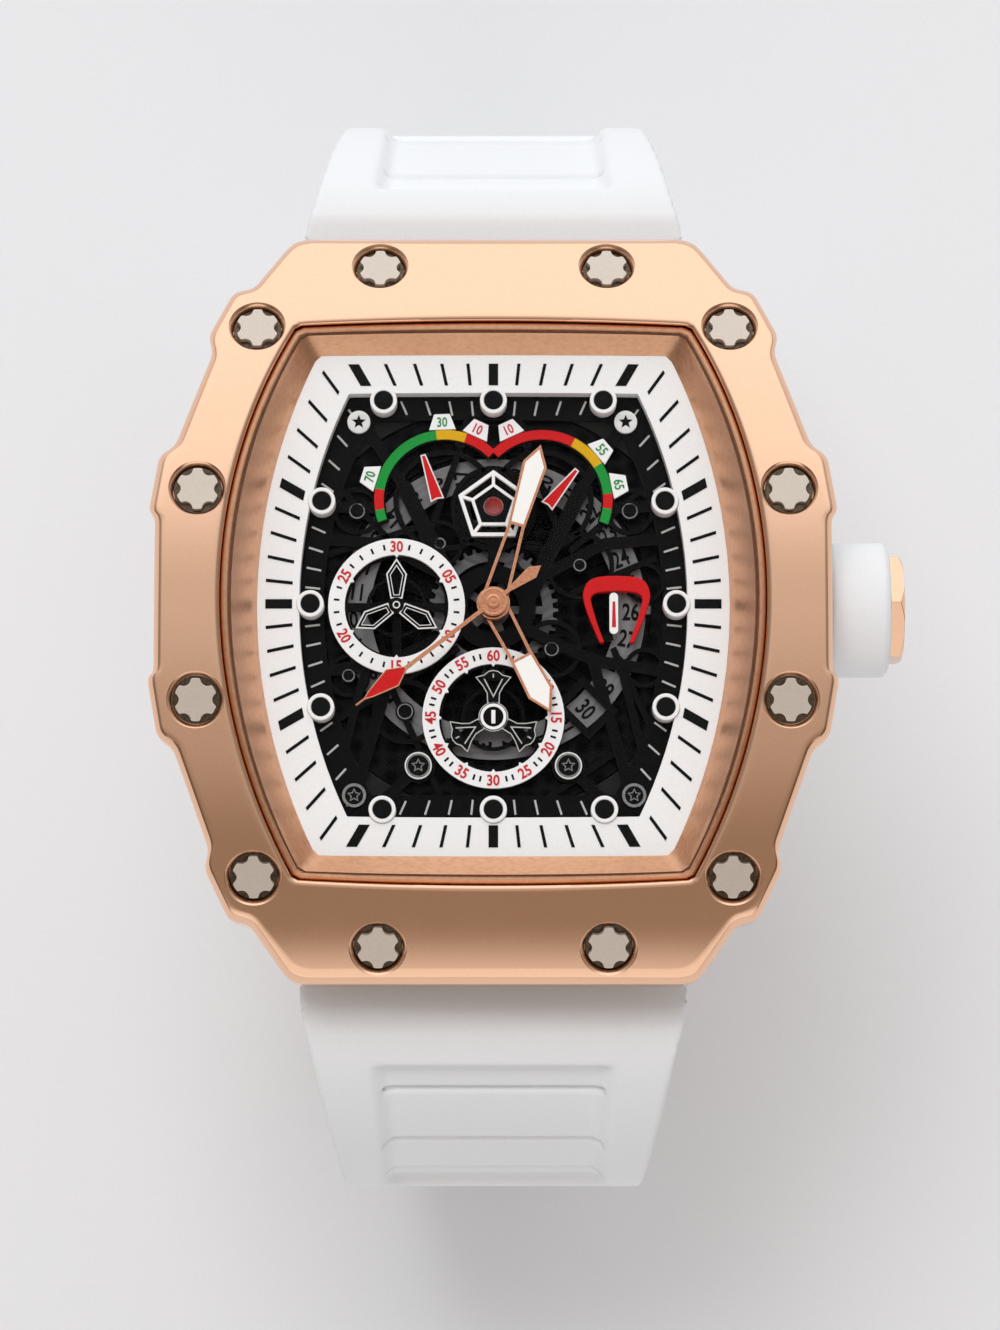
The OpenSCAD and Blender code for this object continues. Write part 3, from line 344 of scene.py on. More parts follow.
FINE = Relief(scale=9000, depth=1.5e-6)
# The edge colours of the finishes below are painted light: highlights on the metals and the black plate,
# shade on the silicone and resin.
ROSE = Finish(
    "Polished rose gold", (249, 203, 171), (247, 198, 165), (0.07, 0.12), 1.0,
    relief=Relief(scale=9000, depth=5e-8), wear=0.03, worn=(255, 226, 200), edge=0.6, reach=1.2e-4,
)
ROSE_HANDS = Finish(
    "Rose gold hands", (236, 168, 132), (214, 142, 108), (0.16, 0.28), 1.0,
    relief=Relief(scale=6000, depth=2e-7), worn=(255, 214, 186), edge=0.7, reach=8e-5,
)
ROSE_BRUSHED = Finish(
    "Brushed rose gold", (240, 184, 146), (222, 160, 122), (0.28, 0.42), 1.0,
    relief=Relief(Pattern.BRUSHED, 1500, (0.25, 12, 12), 1e-6), worn=(252, 214, 182), edge=0.4,
)
ROSE_SATIN = Finish(
    "Satin rose gold", (236, 184, 148), (224, 168, 132), (0.34, 0.46), 1.0,
    relief=Relief(Pattern.GRAIN, 2500, (1, 1, 3), 8e-7), worn=(252, 214, 182), edge=0.3,
)
# The crystal's seal is a real gasket; its dark rose-brown is a painted reflection line of the rose metal
# round it.
SEAL_PAINTED_REFLECTION = Finish("Seal", (110, 70, 48), (90, 56, 38), (0.45, 0.6), relief=FINE, specular=0.3)
# Steel for the floors round the bezel's screws, darkened as painted shade under the heads.
SHADE_DARKENED_STEEL = Finish(
    "Shaded steel", (112, 98, 84), (78, 66, 56), (0.3, 0.45), 1.0, relief=Relief(scale=6000, depth=3e-7),
)
STEEL = Finish(
    "Bright steel", (214, 202, 189), (206, 194, 181), (0.3, 0.38), 0.4,
    relief=Relief(scale=9000, depth=2e-7), worn=(250, 246, 240), edge=0.6,
)
SATIN_STEEL = Finish(
    "Satin steel", (176, 176, 176), (140, 140, 142), (0.3, 0.45), 1.0,
    relief=Relief(Pattern.BRUSHED, 1500, (12, 0.3, 12), 1e-6),
)
PEARLED = Finish(
    "Pearled plate", (30, 30, 32), (14, 14, 15), (0.3, 0.5), 1.0,
    relief=Relief(Pattern.PEARLED, 900, (1, 1, 1), 3e-6),
)
SILICONE = Finish(
    "White silicone", (241, 243, 246), (238, 240, 243), (0.5, 0.62), sheen=0.05,
    relief=Relief(scale=6000, depth=3e-6), wear=0.08, specular=0.35, worn=(226, 226, 226), edge=0.4,
    reach=3e-4,
)
WHITE_RESIN = Finish(
    "White resin", (236, 236, 234), (230, 230, 228), (0.28, 0.4), relief=FINE, worn=(220, 220, 218),
    edge=0.3,
)
BLACK_RUBBER = Finish("Black rubber", (30, 30, 30), (22, 22, 22), (0.6, 0.75), relief=FINE, specular=0.3)
BLACK_SATIN = Finish(
    "Black satin plate", (14, 14, 15), (7, 7, 8), (0.35, 0.5), relief=Relief(scale=7000, depth=2e-6),
    specular=0.08, worn=(60, 60, 62), edge=0.35, reach=5e-5,
)
BLACK_PRINT = Finish("Black print", (16, 16, 17), (10, 10, 10), (0.5, 0.6), relief=FINE, specular=0.12)
GREY_PRINT = Finish("Grey print", (196, 196, 194), (180, 180, 178), (0.5, 0.6), relief=FINE)
DIM_PRINT = Finish("Dim print", (150, 150, 150), (120, 120, 120), (0.4, 0.5), 0.5, relief=FINE)
WHITE_LACQUER = Finish(
    "White lacquer", (248, 248, 248), (244, 244, 245), (0.35, 0.5), coat=0.1,
    relief=Relief(scale=5000, depth=3e-6),
)
WHITE_PRINT = Finish("White print", (232, 232, 232), (222, 222, 222), (0.5, 0.6), relief=FINE)
GREEN = Finish("Green lacquer", (28, 152, 62), (22, 138, 54), (0.35, 0.5), relief=FINE, specular=0.2)
YELLOW = Finish("Yellow lacquer", (226, 176, 22), (210, 160, 16), (0.35, 0.5), relief=FINE, specular=0.2)
RED = Finish("Red lacquer", (212, 26, 30), (196, 20, 24), (0.32, 0.45), relief=FINE, specular=0.2)
RED_PRINT = Finish("Red print", (205, 28, 36), (192, 24, 30), (0.5, 0.6), relief=FINE)
GREEN_PRINT = Finish("Green print", (40, 140, 70), (34, 128, 62), (0.5, 0.6), relief=FINE)
RUBY = Finish(
    "Red jewel", (150, 6, 14), (112, 2, 8), (0.06, 0.12), coat=0.8, relief=Relief(scale=1200, depth=0),
)
DATE_SILVER = Finish(
    "Silvered date ring", (142, 142, 144), (120, 120, 122), (0.4, 0.55), 0.3,
    relief=Relief(Pattern.SPUN, 2600, (1, 1, 0), 1e-6),
)
NICKEL = Finish(
    "Nickel wheel", (120, 120, 122), (80, 80, 82), (0.25, 0.4), 1.0,
    relief=Relief(Pattern.SPUN, 3000, (1, 1, 0), 1e-6, (0, 6.4, 0)),
)
LUME = Finish("Luminous white", (255, 253, 250), (252, 249, 246), (0.6, 0.7), relief=FINE)
BOARD = Finish("Board lacquer", (24, 70, 44), (16, 54, 34), (0.3, 0.4), coat=0.3, relief=FINE)
COPPER = Finish(
    "Copper winding", (196, 120, 76), (150, 84, 48), (0.25, 0.4), 1.0,
    relief=Relief(Pattern.SPUN, 3500, (0, 1, 1), 4e-6),
)
PALE_STEEL = Finish(
    "Pale steel", (236, 236, 235), (226, 226, 225), (0.3, 0.38), 0.2, relief=FINE, worn=(250, 250, 250),
    edge=0.5, reach=8e-5,
)
CRYSTAL = Glass("Clear crystal")


class Bench:
    """The modelling moves that the pieces share. Sizes come in as millimetres."""

    @staticmethod
    def clear() -> None:
        """Leave edit mode and deselect everything."""
        if bpy.context.object is not None and bpy.context.object.mode != "OBJECT":
            bpy.ops.object.mode_set(mode="OBJECT")
        bpy.ops.object.select_all(action="DESELECT")

    @staticmethod
    def edit() -> None:
        """Start to edit the whole mesh."""
        bpy.ops.object.mode_set(mode="EDIT")
        bpy.ops.mesh.select_all(action="SELECT")

    @staticmethod
    def hold(*items: Item) -> Item:
        """Select objects, and return the first one, made active."""
        Bench.clear()
        for item in items:
            item.select_set(True)
        bpy.context.view_layer.objects.active = items[0]
        return items[0]

    @staticmethod
    def double(item: Item) -> Item:
        """Copy a piece with its own mesh."""
        other = item.copy()
        other.data = item.data.copy()
        bpy.context.collection.objects.link(other)
        return other

    @staticmethod
    def modify(item: Item, kind: str, **settings: object) -> Item:
        """Apply a modifier to a piece.

        Args:
            item: The piece.
            kind: Type of the modifier.
            settings: Its settings.

        Returns:
            The same piece.
        """
        Bench.hold(item)
        made = item.modifiers.new(kind.title(), kind)
        for name, value in settings.items():
            setattr(made, name, value)
        bpy.ops.object.modifier_apply(modifier=made.name)
        return item

    @staticmethod
    def block(size: Place, place: Place, turn: float = 0.0) -> Item:
        """Add a block.

        Args:
            size: Its length along each axis.
            place: Its middle.
            turn: Degrees about Z.

        Returns:
            The new object.
        """
        Bench.clear()
        bpy.ops.mesh.primitive_cube_add(
            size=1, location=Vector(place) * MM, rotation=(0, 0, math.radians(turn))
        )
        bpy.context.object.scale = Vector(size) * MM
        bpy.ops.object.transform_apply(location=True, rotation=True, scale=True)
        return bpy.context.object

    @staticmethod
    def disc(radius: float, low: float, high: float, at: Point = (0, 0), sides: int = 40) -> Item:
        """Add an upright round slab.

        Args:
            radius: Its radius.
            low: Height of its underside.
            high: Height of its top.
            at: Its middle.
            sides: How many flats make the round.

        Returns:
            The new object.
        """
        Bench.clear()
        bpy.ops.mesh.primitive_cylinder_add(
            vertices=sides, radius=radius * MM, depth=(high - low) * MM,
            location=Vector((*at, (low + high) / 2)) * MM,
        )
        bpy.ops.object.transform_apply(location=True, rotation=True, scale=True)
        return bpy.context.object

    @staticmethod
    def plate(outline: Outline, low: float, high: float, hole: Outline = ()) -> Item:
        """Add a flat plate with any outline, or a frame round a hole, extruded from its lower face.

        Args:
            outline: Its corners, anticlockwise.
            low: Height of its underside.
            high: Height of its top.
            hole: Corners of the hole, in step with the outer ones.

        Returns:
            The new object.
        """
        loops = []
        for corners in (outline, hole) if hole else (outline,):
            Bench.clear()
            bpy.ops.mesh.primitive_circle_add(
                vertices=len(corners), radius=MM, fill_type="NOTHING" if hole else "NGON"
            )
            loops.append(bpy.context.object)
            for vertex, (x, y) in zip(loops[-1].data.vertices, corners):
                vertex.co = Vector((x, y, low)) * MM
        item = Bench.join(loops)
        Bench.edit()
        if hole:
            bpy.ops.mesh.bridge_edge_loops()
            bpy.ops.mesh.select_all(action="SELECT")
        bpy.ops.mesh.extrude_region_move(TRANSFORM_OT_translate={"value": (0, 0, (high - low) * MM)})
        bpy.ops.mesh.select_all(action="SELECT")
        bpy.ops.mesh.normals_make_consistent(inside=False)
        Bench.clear()
        return item

    @staticmethod
    def hoop(
        radius: float, hole: float, low: float, high: float, at: Point = (0, 0), sides: int = 64
    ) -> Item:
        """Add a flat ring, given its two radii, its two heights, its middle and its count of sides."""
        outer, inner = ([clock(-360 * i / sides, r, at) for i in range(sides)] for r in (radius, hole))
        return Bench.plate(outer, low, high, inner)

    @staticmethod
    def loft(rows: Sequence[Row], closed: bool = True) -> Item:
        """Shape a grid into a round skin through rows of points.

        Args:
            rows: Rings with equal counts of points.
            closed: Whether the last ring joins the first.

        Returns:
            The skin.
        """
        turns = [[*row, row[0]] for row in rows]
        if closed:
            turns.append(turns[0])
        Bench.clear()
        bpy.ops.mesh.primitive_grid_add(
            x_subdivisions=len(turns[0]) - 1, y_subdivisions=len(turns) - 1, size=MM
        )
        item = bpy.context.object
        flat = [c * MM for row in turns for place in row for c in place]
        item.data.vertices.foreach_set("co", flat)
        Bench.edit()
        bpy.ops.mesh.remove_doubles(threshold=2e-7)
        bpy.ops.mesh.normals_make_consistent(inside=False)
        Bench.clear()
        return item

    @staticmethod
    def soften(item: Item, width: float, segments: int = 2, angle: float = 30.0) -> Item:
        """Round the edges sharper than an angle, narrower where faces leave no room."""
        return Bench.modify(
            item, "BEVEL", width=width * MM, segments=segments, angle_limit=math.radians(angle),
            use_clamp_overlap=True, miter_outer="MITER_ARC",
        )

    @staticmethod
    def join(items: Iterable[Item]) -> Item:
        """Join pieces into one."""
        item = Bench.hold(*items)
        if len(bpy.context.selected_objects) > 1:
            bpy.ops.object.join()
        return item

    @staticmethod
    def repeat(item: Item, places: Iterable[Matrix]) -> Item:
        """Copy a piece, which is used up, to places in metres, and join the copies.

        Args:
            item: The piece.
            places: Where each copy goes.

        Returns:
            The joined copies.
        """
        copies = []
        for place in places:
            copies.append(Bench.double(item))
            copies[-1].data.transform(place)
        bpy.data.objects.remove(item)
        return Bench.join(copies)

    @staticmethod
    def letters(text: str, at: Place, turn: float, style: Place) -> Item:
        """Write raised figures, centred on a place.

        Args:
            text: The figures.
            at: Middle of the figures' underside.
            turn: Degrees about Z.
            style: Height of the type's body, width against height, and thickening of the strokes.

        Returns:
            The figures as a mesh.
        """
        Bench.clear()
        bpy.ops.object.text_add()
        size, squeeze, weight = style
        words = bpy.context.object.data
        words.body, words.size, words.extrude = text, 1, 0.02
        words.align_x = words.align_y = "CENTER"
        words.offset, words.resolution_u = weight, 3
        bpy.ops.object.convert(target="MESH")
        item = bpy.context.object
        corners = [v.co.copy() for v in item.data.vertices]
        x, y = ((min(c[i] for c in corners) + max(c[i] for c in corners)) / 2 for i in (0, 1))
        item.data.transform(Matrix.Translation((-x, -y, 0.02)))
        grown = Matrix.Diagonal((size * squeeze * MM, size * MM, size * MM, 1))
        spun = Matrix.Rotation(math.radians(turn), 4, "Z")
        item.data.transform(Matrix.Translation(Vector(at) * MM) @ spun @ grown)
        return item


@dataclass
class Assembly:
    """A group of pieces of the watch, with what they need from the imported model.

    Attributes:
        nodes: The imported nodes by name.
    """

    nodes: dict[str, Item]

    def dress(self, finish: Surface, *nodes: str) -> None:
        """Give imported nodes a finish.

        Args:
            finish: The finish.
            nodes: Names of the nodes.
        """
        for node in nodes:
            for held in self.nodes[node].material_slots:
                held.material = finish.material()
            LOG.info("%s is dressed in %s", node, finish.name)

    def fit(
        self, item: Item, name: str, finish: Surface, node: str, slot: str = "", angle: float = 32.0
    ) -> None:
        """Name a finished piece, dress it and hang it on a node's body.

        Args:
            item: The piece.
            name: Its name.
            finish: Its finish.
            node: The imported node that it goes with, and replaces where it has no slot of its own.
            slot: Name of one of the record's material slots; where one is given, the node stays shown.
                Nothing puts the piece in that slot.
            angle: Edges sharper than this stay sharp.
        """
        item.name = name
        item.data.materials.clear()
        item.data.materials.append(finish.material())
        Bench.hold(item)
        bpy.ops.object.shade_smooth_by_angle(angle=math.radians(angle))
        Bench.modify(item, "WEIGHTED_NORMAL", keep_sharp=True)
        body = self.nodes[node].parent.name.removeprefix("body:")
        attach(item, body)
        if slot:
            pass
        else:
            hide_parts(node)
        LOG.info("%s rides on %s, %d faces", name, body, len(item.data.polygons))

    def twin(self, node: str) -> Item:
        """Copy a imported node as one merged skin, ready to be shaped further.

        Args:
            node: Name of the node.

        Returns:
            The copy.
        """
        Bench.clear()
        item = Bench.double(self.nodes[node])
        item.parent = None
        item.matrix_world = Matrix.Identity(4)
        Bench.hold(item)
        if item.data.has_custom_normals:
            bpy.ops.mesh.customdata_custom_splitnormals_clear()
        Bench.edit()
        bpy.ops.mesh.remove_doubles(threshold=2e-7)
        bpy.ops.mesh.dissolve_limited(angle_limit=math.radians(0.6))
        Bench.clear()
        return item

    def refine(self, finish: Surface, width: float, *nodes: str, segments: int = 2) -> None:
        """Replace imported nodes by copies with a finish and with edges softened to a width."""
        for node in nodes:
            self.fit(Bench.soften(self.twin(node), width, segments), f"{node}_skin", finish, node)


@dataclass
class Studio:
    """Pale floor, soft lamps and the camera.

    Attributes:
        aim: What the camera looks at.
        tilt: Degrees between the camera and the dial's normal.
        distance: From the camera to its aim.
        lens: Focal length for a sensor of 36 mm.
        floor: Height of the floor.
        levels: Direction from 6 o'clock (-1) to 12 o'clock (1), strength of the light, and warmth.
        side_span: Where the room starts and ends to darken to the left and right.
        side_level: Share of the light that is left there.
        lamps: Name, place, side and power of the lamps.
    """

    aim: Place = (0.42, -4.33, 11.0)
    tilt: float = 8.0
    distance: float = 300.0
    lens: float = 129.7
    floor: float = -50.72
    levels: tuple[Place, ...] = (
        (-1.0, 1.0, 0.1), (-0.8, 0.95, 0.1), (-0.66, 0.32, 0.8), (-0.5, 0.32, 0.8), (-0.2, 0.5, 0.4),
        (0.15, 0.67, 0.15), (0.56, 1.15, -0.1), (0.86, 1.25, -0.1),
    )
    side_span: Point = (0.3, 0.85)
    side_level: float = 0.45
    lamps: tuple[tuple[str, Place, float, float], ...] = (
        ("key", (-130, 300, 830), 380, 2.5), ("fill", (40, -640, 640), 600, 0.75),
    )

    def build(self) -> None:
        """Make the camera, the floor, the lamps and the world."""
        self._camera()
        self._floor()
        for lamp in self.lamps:
            self._lamp(*lamp)
        self._world()
        bpy.context.scene.view_settings.view_transform = "Standard"

    def _camera(self) -> None:
        """Set the camera on the 6 o'clock side, looking down at the dial."""
        data = bpy.data.cameras.new("camera")
        data.lens, data.sensor_width = self.lens, 36
        data.clip_start, data.clip_end = 0.01, 20
        camera = bpy.data.objects.new("camera", data)
        bpy.context.collection.objects.link(camera)
        lean = math.radians(self.tilt)
        back = Vector((0, -math.sin(lean), math.cos(lean)))
        camera.location = (Vector(self.aim) + back * self.distance) * MM
        camera.rotation_euler = (lean, 0, 0)
        bpy.context.scene.camera = camera

    def _floor(self) -> None:
        """Lay the floor under the clasp."""
        Bench.clear()
        bpy.ops.mesh.primitive_plane_add(size=6, location=(0, 0, self.floor * MM))
        floor = bpy.context.object
        floor.name = "floor"
        paper = Finish("Pale paper", (241, 242, 245), (239, 240, 243), (0.85, 0.95))
        floor.data.materials.append(paper.material())

    def _lamp(self, name: str, place: Place, size: float, power: float) -> None:
        """Hang a square soft lamp that faces the dial.

        Args:
            name: Its name.
            place: Its place.
            size: Its side.
            power: Its power in watts.
        """
        data = bpy.data.lights.new(name, "AREA")
        data.shape, data.size, data.energy = "SQUARE", size * MM, power
        lamp = bpy.data.objects.new(name, data)
        bpy.context.collection.objects.link(lamp)
        lamp.visible_glossy = False
        lamp.location = Vector(place) * MM
        lamp.rotation_euler = (-Vector(place)).to_track_quat("-Z", "Y").to_euler()

    def _world(self) -> None:
        """Fill the room with soft light that changes from 6 o'clock to 12 o'clock."""
        world = bpy.data.worlds.new("room")
        bpy.context.scene.world = world
        world.use_nodes = True
        wires = Wiring(world.node_tree)
        parts = wires.add("SeparateXYZ", {0: wires.add("TexCoord")}).outputs
        ramp = wires.add("ValToRGB", {"Fac": wires.add("MapRange", {"From Min": -1, "Value": parts["Y"]})})
        ramp.color_ramp.interpolation = "EASE"
        stops = ramp.color_ramp.elements
        while len(stops) < len(self.levels):
            stops.new(0.5)
        for stop, (along, level, warmth) in zip(stops, self.levels):
            stop.position = (along + 1) / 2
            stop.color = (level, level * (1 - 0.2 * warmth), level * (1 - 0.38 * warmth), 1)
        span = dict(zip(range(1, 5), (*self.side_span, 1.0, self.side_level)))
        aside = wires.add("Math", {0: parts["X"]}, operation="ABSOLUTE")
        sides = wires.add("MapRange", {"Value": aside, **span}, interpolation_type="SMOOTHSTEP")
        dim = wires.add("VectorMath", {0: ramp, "Scale": sides}, operation="SCALE")
        wires.feed(wires.tree.nodes["Background"], {"Color": dim})


def clock(degrees: float, radius: float, middle: Point = (0.0, 0.0)) -> Point:
    """Return the place at a radius from a dial's middle, in degrees clockwise from 12 o'clock."""
    lean = math.radians(degrees)
    return (middle[0] + radius * math.sin(lean), middle[1] + radius * math.cos(lean))


def star(radius: float, waist: float, middle: Point) -> list[Point]:
    """Draw a five-pointed star as an anticlockwise outline."""
    return [clock(-36 * i, waist if i % 2 else radius, middle) for i in range(10)]


def both(half: Outline) -> list[Point]:
    """Add the mirror image of the right half of an outline, which ends on the middle line."""
    return [*half, *((-x, y) for x, y in reversed(half[:-1]))]


def turned(outline: Outline, degrees: float, middle: Point = (0.0, 0.0)) -> list[Point]:
    """Turn an outline anticlockwise about the dial's middle, then set it on another middle."""
    c, s = math.cos(math.radians(degrees)), math.sin(math.radians(degrees))
    return [(middle[0] + c * x - s * y, middle[1] + s * x + c * y) for x, y in outline]


def stand(degrees: float, radius: float, middle: Point = (0.0, 0.0)) -> Matrix:
    """Return the move that sets a piece of the origin, drawn along +Y, on a dial."""
    x, y = clock(degrees, radius, middle)
    return Matrix.Translation((x * MM, y * MM, 0)) @ Matrix.Rotation(math.radians(-degrees), 4, "Z")


def inset(outline: Outline, depth: float) -> list[Point]:
    """Move an anticlockwise outline inwards, along the mitre of each corner.

    Args:
        outline: The outline.
        depth: How far it moves.

    Returns:
        The inner outline.
    """
    moved = []
    for i, here in enumerate(outline):
        corner = Vector(here)
        before = (corner - Vector(outline[i - 1])).normalized()
        after = (Vector(outline[(i + 1) % len(outline)]) - corner).normalized()
        first, second = Vector((-before.y, before.x)), Vector((-after.y, after.x))
        moved.append(tuple(corner + depth * (first + second) / (1 + first.dot(second))))
    return moved


def eased(points: Outline, steps: int = 5) -> list[Point]:
    """Run a smooth curve through points.

    Args:
        points: The points, with the curve's ends first and last.
        steps: Pieces of curve between two points.

    Returns:
        The finer points.
    """
    held = [points[0], *points, points[-1]]
    curve = []
    for i in range(1, len(held) - 2):
        a, b, c, d = (Vector(p) for p in held[i - 1:i + 3])
        for t in (j / steps for j in range(steps)):
            bend = (2 * a - 5 * b + 4 * c - d) * t**2 + (3 * b - a - 3 * c + d) * t**3
            curve.append(tuple((2 * b + (c - a) * t + bend) / 2))
    return [*curve, tuple(points[-1])]


def rounded(outline: Outline, size: float, steps: int) -> list[Point]:
    """Round the corners of an outline.

    Args:
        outline: The outline.
        size: How far from a corner its rounding starts.
        steps: Pieces of the rounding.

    Returns:
        The rounded outline.
    """
    result = []
    for i, here in enumerate(outline):
        corner = Vector(here)
        ends = []
        for other in (outline[i - 1], outline[(i + 1) % len(outline)]):
            away = Vector(other) - corner
            ends.append(corner + away.normalized() * min(size, 0.45 * away.length))
        for t in (k / steps for k in range(steps + 1)):
            result.append(tuple((1 - t) ** 2 * ends[0] + 2 * t * (1 - t) * corner + t**2 * ends[1]))
    return result


def dense(outline: Outline, step: float) -> list[Point]:
    """Add points to the long sides of an outline.

    Args:
        outline: The outline.
        step: Longest side that stays whole.

    Returns:
        The finer outline.
    """
    result = []
    for i, here in enumerate(outline):
        start, end = Vector(here), Vector(outline[(i + 1) % len(outline)])
        count = max(1, math.ceil((end - start).length / step))
        result += [tuple(start.lerp(end, k / count)) for k in range(count)]
    return result


@dataclass(frozen=True)
class Barrel:
    """Outline of four shallow arcs, as the flange's edges have.

    Attributes:
        half_width: From the middle to the side arcs.
        half_height: From the middle to the end arcs.
        back: How far the corners stand in from the half width.
        drop: How far the corners stand below the half height.
        soft: Sharpness of the corners, or 0 where they aren't rounded.
    """

    half_width: float
    half_height: float
    back: float
    drop: float = 0.06
    soft: float = 0.0

    def reach(self, clockwise: float) -> float:
        """Measure from the middle to the outline.

        Args:
            clockwise: Direction in degrees, from 12 o'clock.

        Returns:
            The distance.
        """
        ray = Vector(clock(clockwise, 1))
        corner = Vector((self.half_width - self.back, self.half_height - self.drop))
        side, end = self.half_width - corner.x, self.half_height - corner.y
        wide = (corner.y**2 + side**2) / (2 * side)
        tall = (corner.x**2 + end**2) / (2 * end)
        found = []
        for axis, size, radius in ((0, self.half_width, wide), (1, self.half_height, tall)):
            for sign in (-1, 1):
                middle = Vector((0, 0))
                middle[axis] = sign * (size - radius)
                along = middle.dot(ray)
                found.append(along + math.sqrt(radius**2 - middle.length_squared + along**2))
        least = min(found)
        if not self.soft:
            return least
        return least * sum((d / least) ** -self.soft for d in found) ** (-1 / self.soft)

    def line(self, turns: Iterable[float], back: float = 0.0) -> list[Point]:
        """Return the outline's points in some directions, or points that stand back from it."""
        return [clock(a, self.reach(a) - back) for a in turns]


@dataclass
class Case(Assembly):
    """Bezel, middle case, back, crystal, screws and crown.

    Attributes:
        quarter: Corners of the bezel's outline from 12 o'clock to 3 o'clock.
        height: Height of the bezel's crest.
        arch: Radius of its face, which is arched from 12 to 6 o'clock.
        edge: Steps in from the outline and depths below the face, round the bezel's outer edge.
        lip: The same from the opening outwards, over its inner edge.
        pocket: Radii and heights of a screw's pocket, from its floor up.
        opening: Outline of the bezel's opening.
        ridge: Steps in from the opening and depths of the wall's rounded top.
        seal: The same for the crystal's seal.
        flange: Outer outline of the dial's flange.
        flange_top: Height of the flange's face.
        screws: Places of the bezel's screws in one quarter.
        head: Radius of their heads.
        notch: Radius of the notches in a head.
        notch_away: From a head's middle to a notch's.
        head_span: Underside and top of a head, measured from the face.
        floor: Radius, underside and top of the steel floor round a screw, darkened as painted shade under the
            head.
        shank: The same for the shank below it.
        wall_gap: Clearance between the wall's foot and the flange.
        wall_foot: Height of the foot's edge.
        glass_back: How far the crystal's rim stands in from the opening.
        glass_drops: Depths of the crystal's lower and upper face.
        glass_roll: How far the rim of the upper face is rolled down.
    """

    quarter: tuple[Point, ...] = (
        (12.1, 24.0), (12.9, 23.7), (13.4, 23.1), (15.3, 20.4), (16.6, 20.1), (18.1, 17.0), (17.8, 15.8),
        (20.0, 9.6), (21.0, 8.9), (21.6, 5.3), (21.2, 4.9),
    )
    height: float = 12.8
    arch: float = 52.0
    edge: tuple[Point, ...] = (
        (0.0, 2.6), (0.0, 0.62), (0.02, 0.52), (0.08, 0.43), (0.31, 0.11), (0.4, 0.04), (0.52, 0.0),
    )
    lip: tuple[Point, ...] = (
        (0.45, 0.0), (0.28, 0.02), (0.15, 0.08), (0.06, 0.17), (0.01, 0.3), (0.0, 0.5), (0.0, 2.6),
    )
    pocket: tuple[Point, ...] = (
        (0.0, -1.05), (1.56, -1.05), (1.56, -0.36), (1.59, -0.26), (1.74, -0.06), (1.82, 0.0), (1.95, 0.06),
        (2.05, 1.0), (0.0, 1.0),
    )
    opening: Barrel = Barrel(17.1, 18.0, 4.6, 0.35, 330.0)
    ridge: tuple[Point, ...] = (
        (0.03, 1.5), (0.03, 0.62), (0.08, 0.47), (0.18, 0.38), (0.32, 0.34), (0.46, 0.39), (0.56, 0.52),
        (0.62, 0.76),
    )
    seal: tuple[Point, ...] = ((0.56, 0.58), (0.6, 0.55), (0.66, 0.57), (0.7, 0.8), (0.62, 0.84))
    flange: Barrel = Barrel(15.0, 16.1, 3.8, 0.06, 130.0)
    flange_top: float = 8.0
    screws: tuple[Point, ...] = ((7.25, 21.9), (15.0, 17.6), (18.55, 6.7))
    head: float = 1.36
    notch: float = 0.44
    notch_away: float = 1.5
    head_span: Point = (-0.66, -0.16)
    floor: Place = (1.52, -1.03, -0.55)
    shank: Place = (0.6, -4.2, -1.0)
    wall_gap: float = 0.03
    wall_foot: float = 0.06
    glass_back: float = 0.68
    glass_drops: Point = (1.0, 0.66)
    glass_roll: float = 0.05

    def build(self) -> None:
        """Make the bezel with all that shows in its opening, and dress the rest of the case."""
        self._bezel()
        self._wall()
        self._glass()
        self._screws()
        self.refine(WHITE_RESIN, 0.1, "case_middle")
        self.refine(ROSE_BRUSHED, 0.08, "case_back")
        self.refine(ROSE, 0.1, "crown_cap", segments=3)
        self.refine(SILICONE, 0.14, "crown_sleeve", segments=3)
        self.dress(BLACK_RUBBER, "case_back_gasket", "crown_gasket")
        self.dress(STEEL, "case_back_screws")
        self.dress(ROSE_BRUSHED, "crown_tube")
        self.dress(SATIN_STEEL, "crown_stem")

    def _face(self, y: float, below: float = 0.0) -> float:
        """Return the height of the arched face, or of an arch below it."""
        return self.height - self.arch + math.sqrt((self.arch - below) ** 2 - y**2)

    def _rows(self, outer: Outline, inner: Outline, profile: Outline) -> list[Row]:
        """Lay rings between two outlines.

        Args:
            outer: Outline that the rings start from.
            inner: Outline that they move towards.
            profile: How far each ring moves, and how deep it lies below the arched face.

        Returns:
            The rings.
        """
        rows = []
        for step, drop in profile:
            rows.append([])
            for start, end in zip(outer, inner):
                here = Vector(start) + (Vector(end) - Vector(start)).normalized() * step
                rows[-1].append((here.x, here.y, self._face(here.y, drop)))
        return rows

    def _bezel(self) -> None:
        """Loft the bezel with rolled edges, and sink its screws' pockets."""
        right = [*self.quarter, *((x, -y) for x, y in reversed(self.quarter))]
        outline = [*right, *((-x, -y) for x, y in right)]
        outer = list(reversed(dense(rounded(outline, 0.5, 4), 0.7)))
        inner = self.opening.line(math.degrees(math.atan2(x, y)) for x, y in outer)
        rows, lip = self._rows(outer, inner, self.edge), self._rows(inner, outer, self.lip)
        last = rows[-1]
        for share in (k / 11 for k in range(1, 11)):
            flat = [Vector(start[:2]).lerp(Vector(end[:2]), share) for start, end in zip(last, lip[0])]
            rows.append([(p.x, p.y, self._face(p.y)) for p in flat])
        shell = Bench.loft([*rows, *lip])
        cutter = Bench.loft([[(*clock(-7.5 * i, r), z) for i in range(48)] for r, z in self.pocket], False)
        cutters = Bench.repeat(cutter, self._seats())
        Bench.modify(shell, "BOOLEAN", object=cutters, solver="EXACT")
        bpy.data.objects.remove(cutters)
        self.fit(shell, "bezel_shell", ROSE, "bezel")

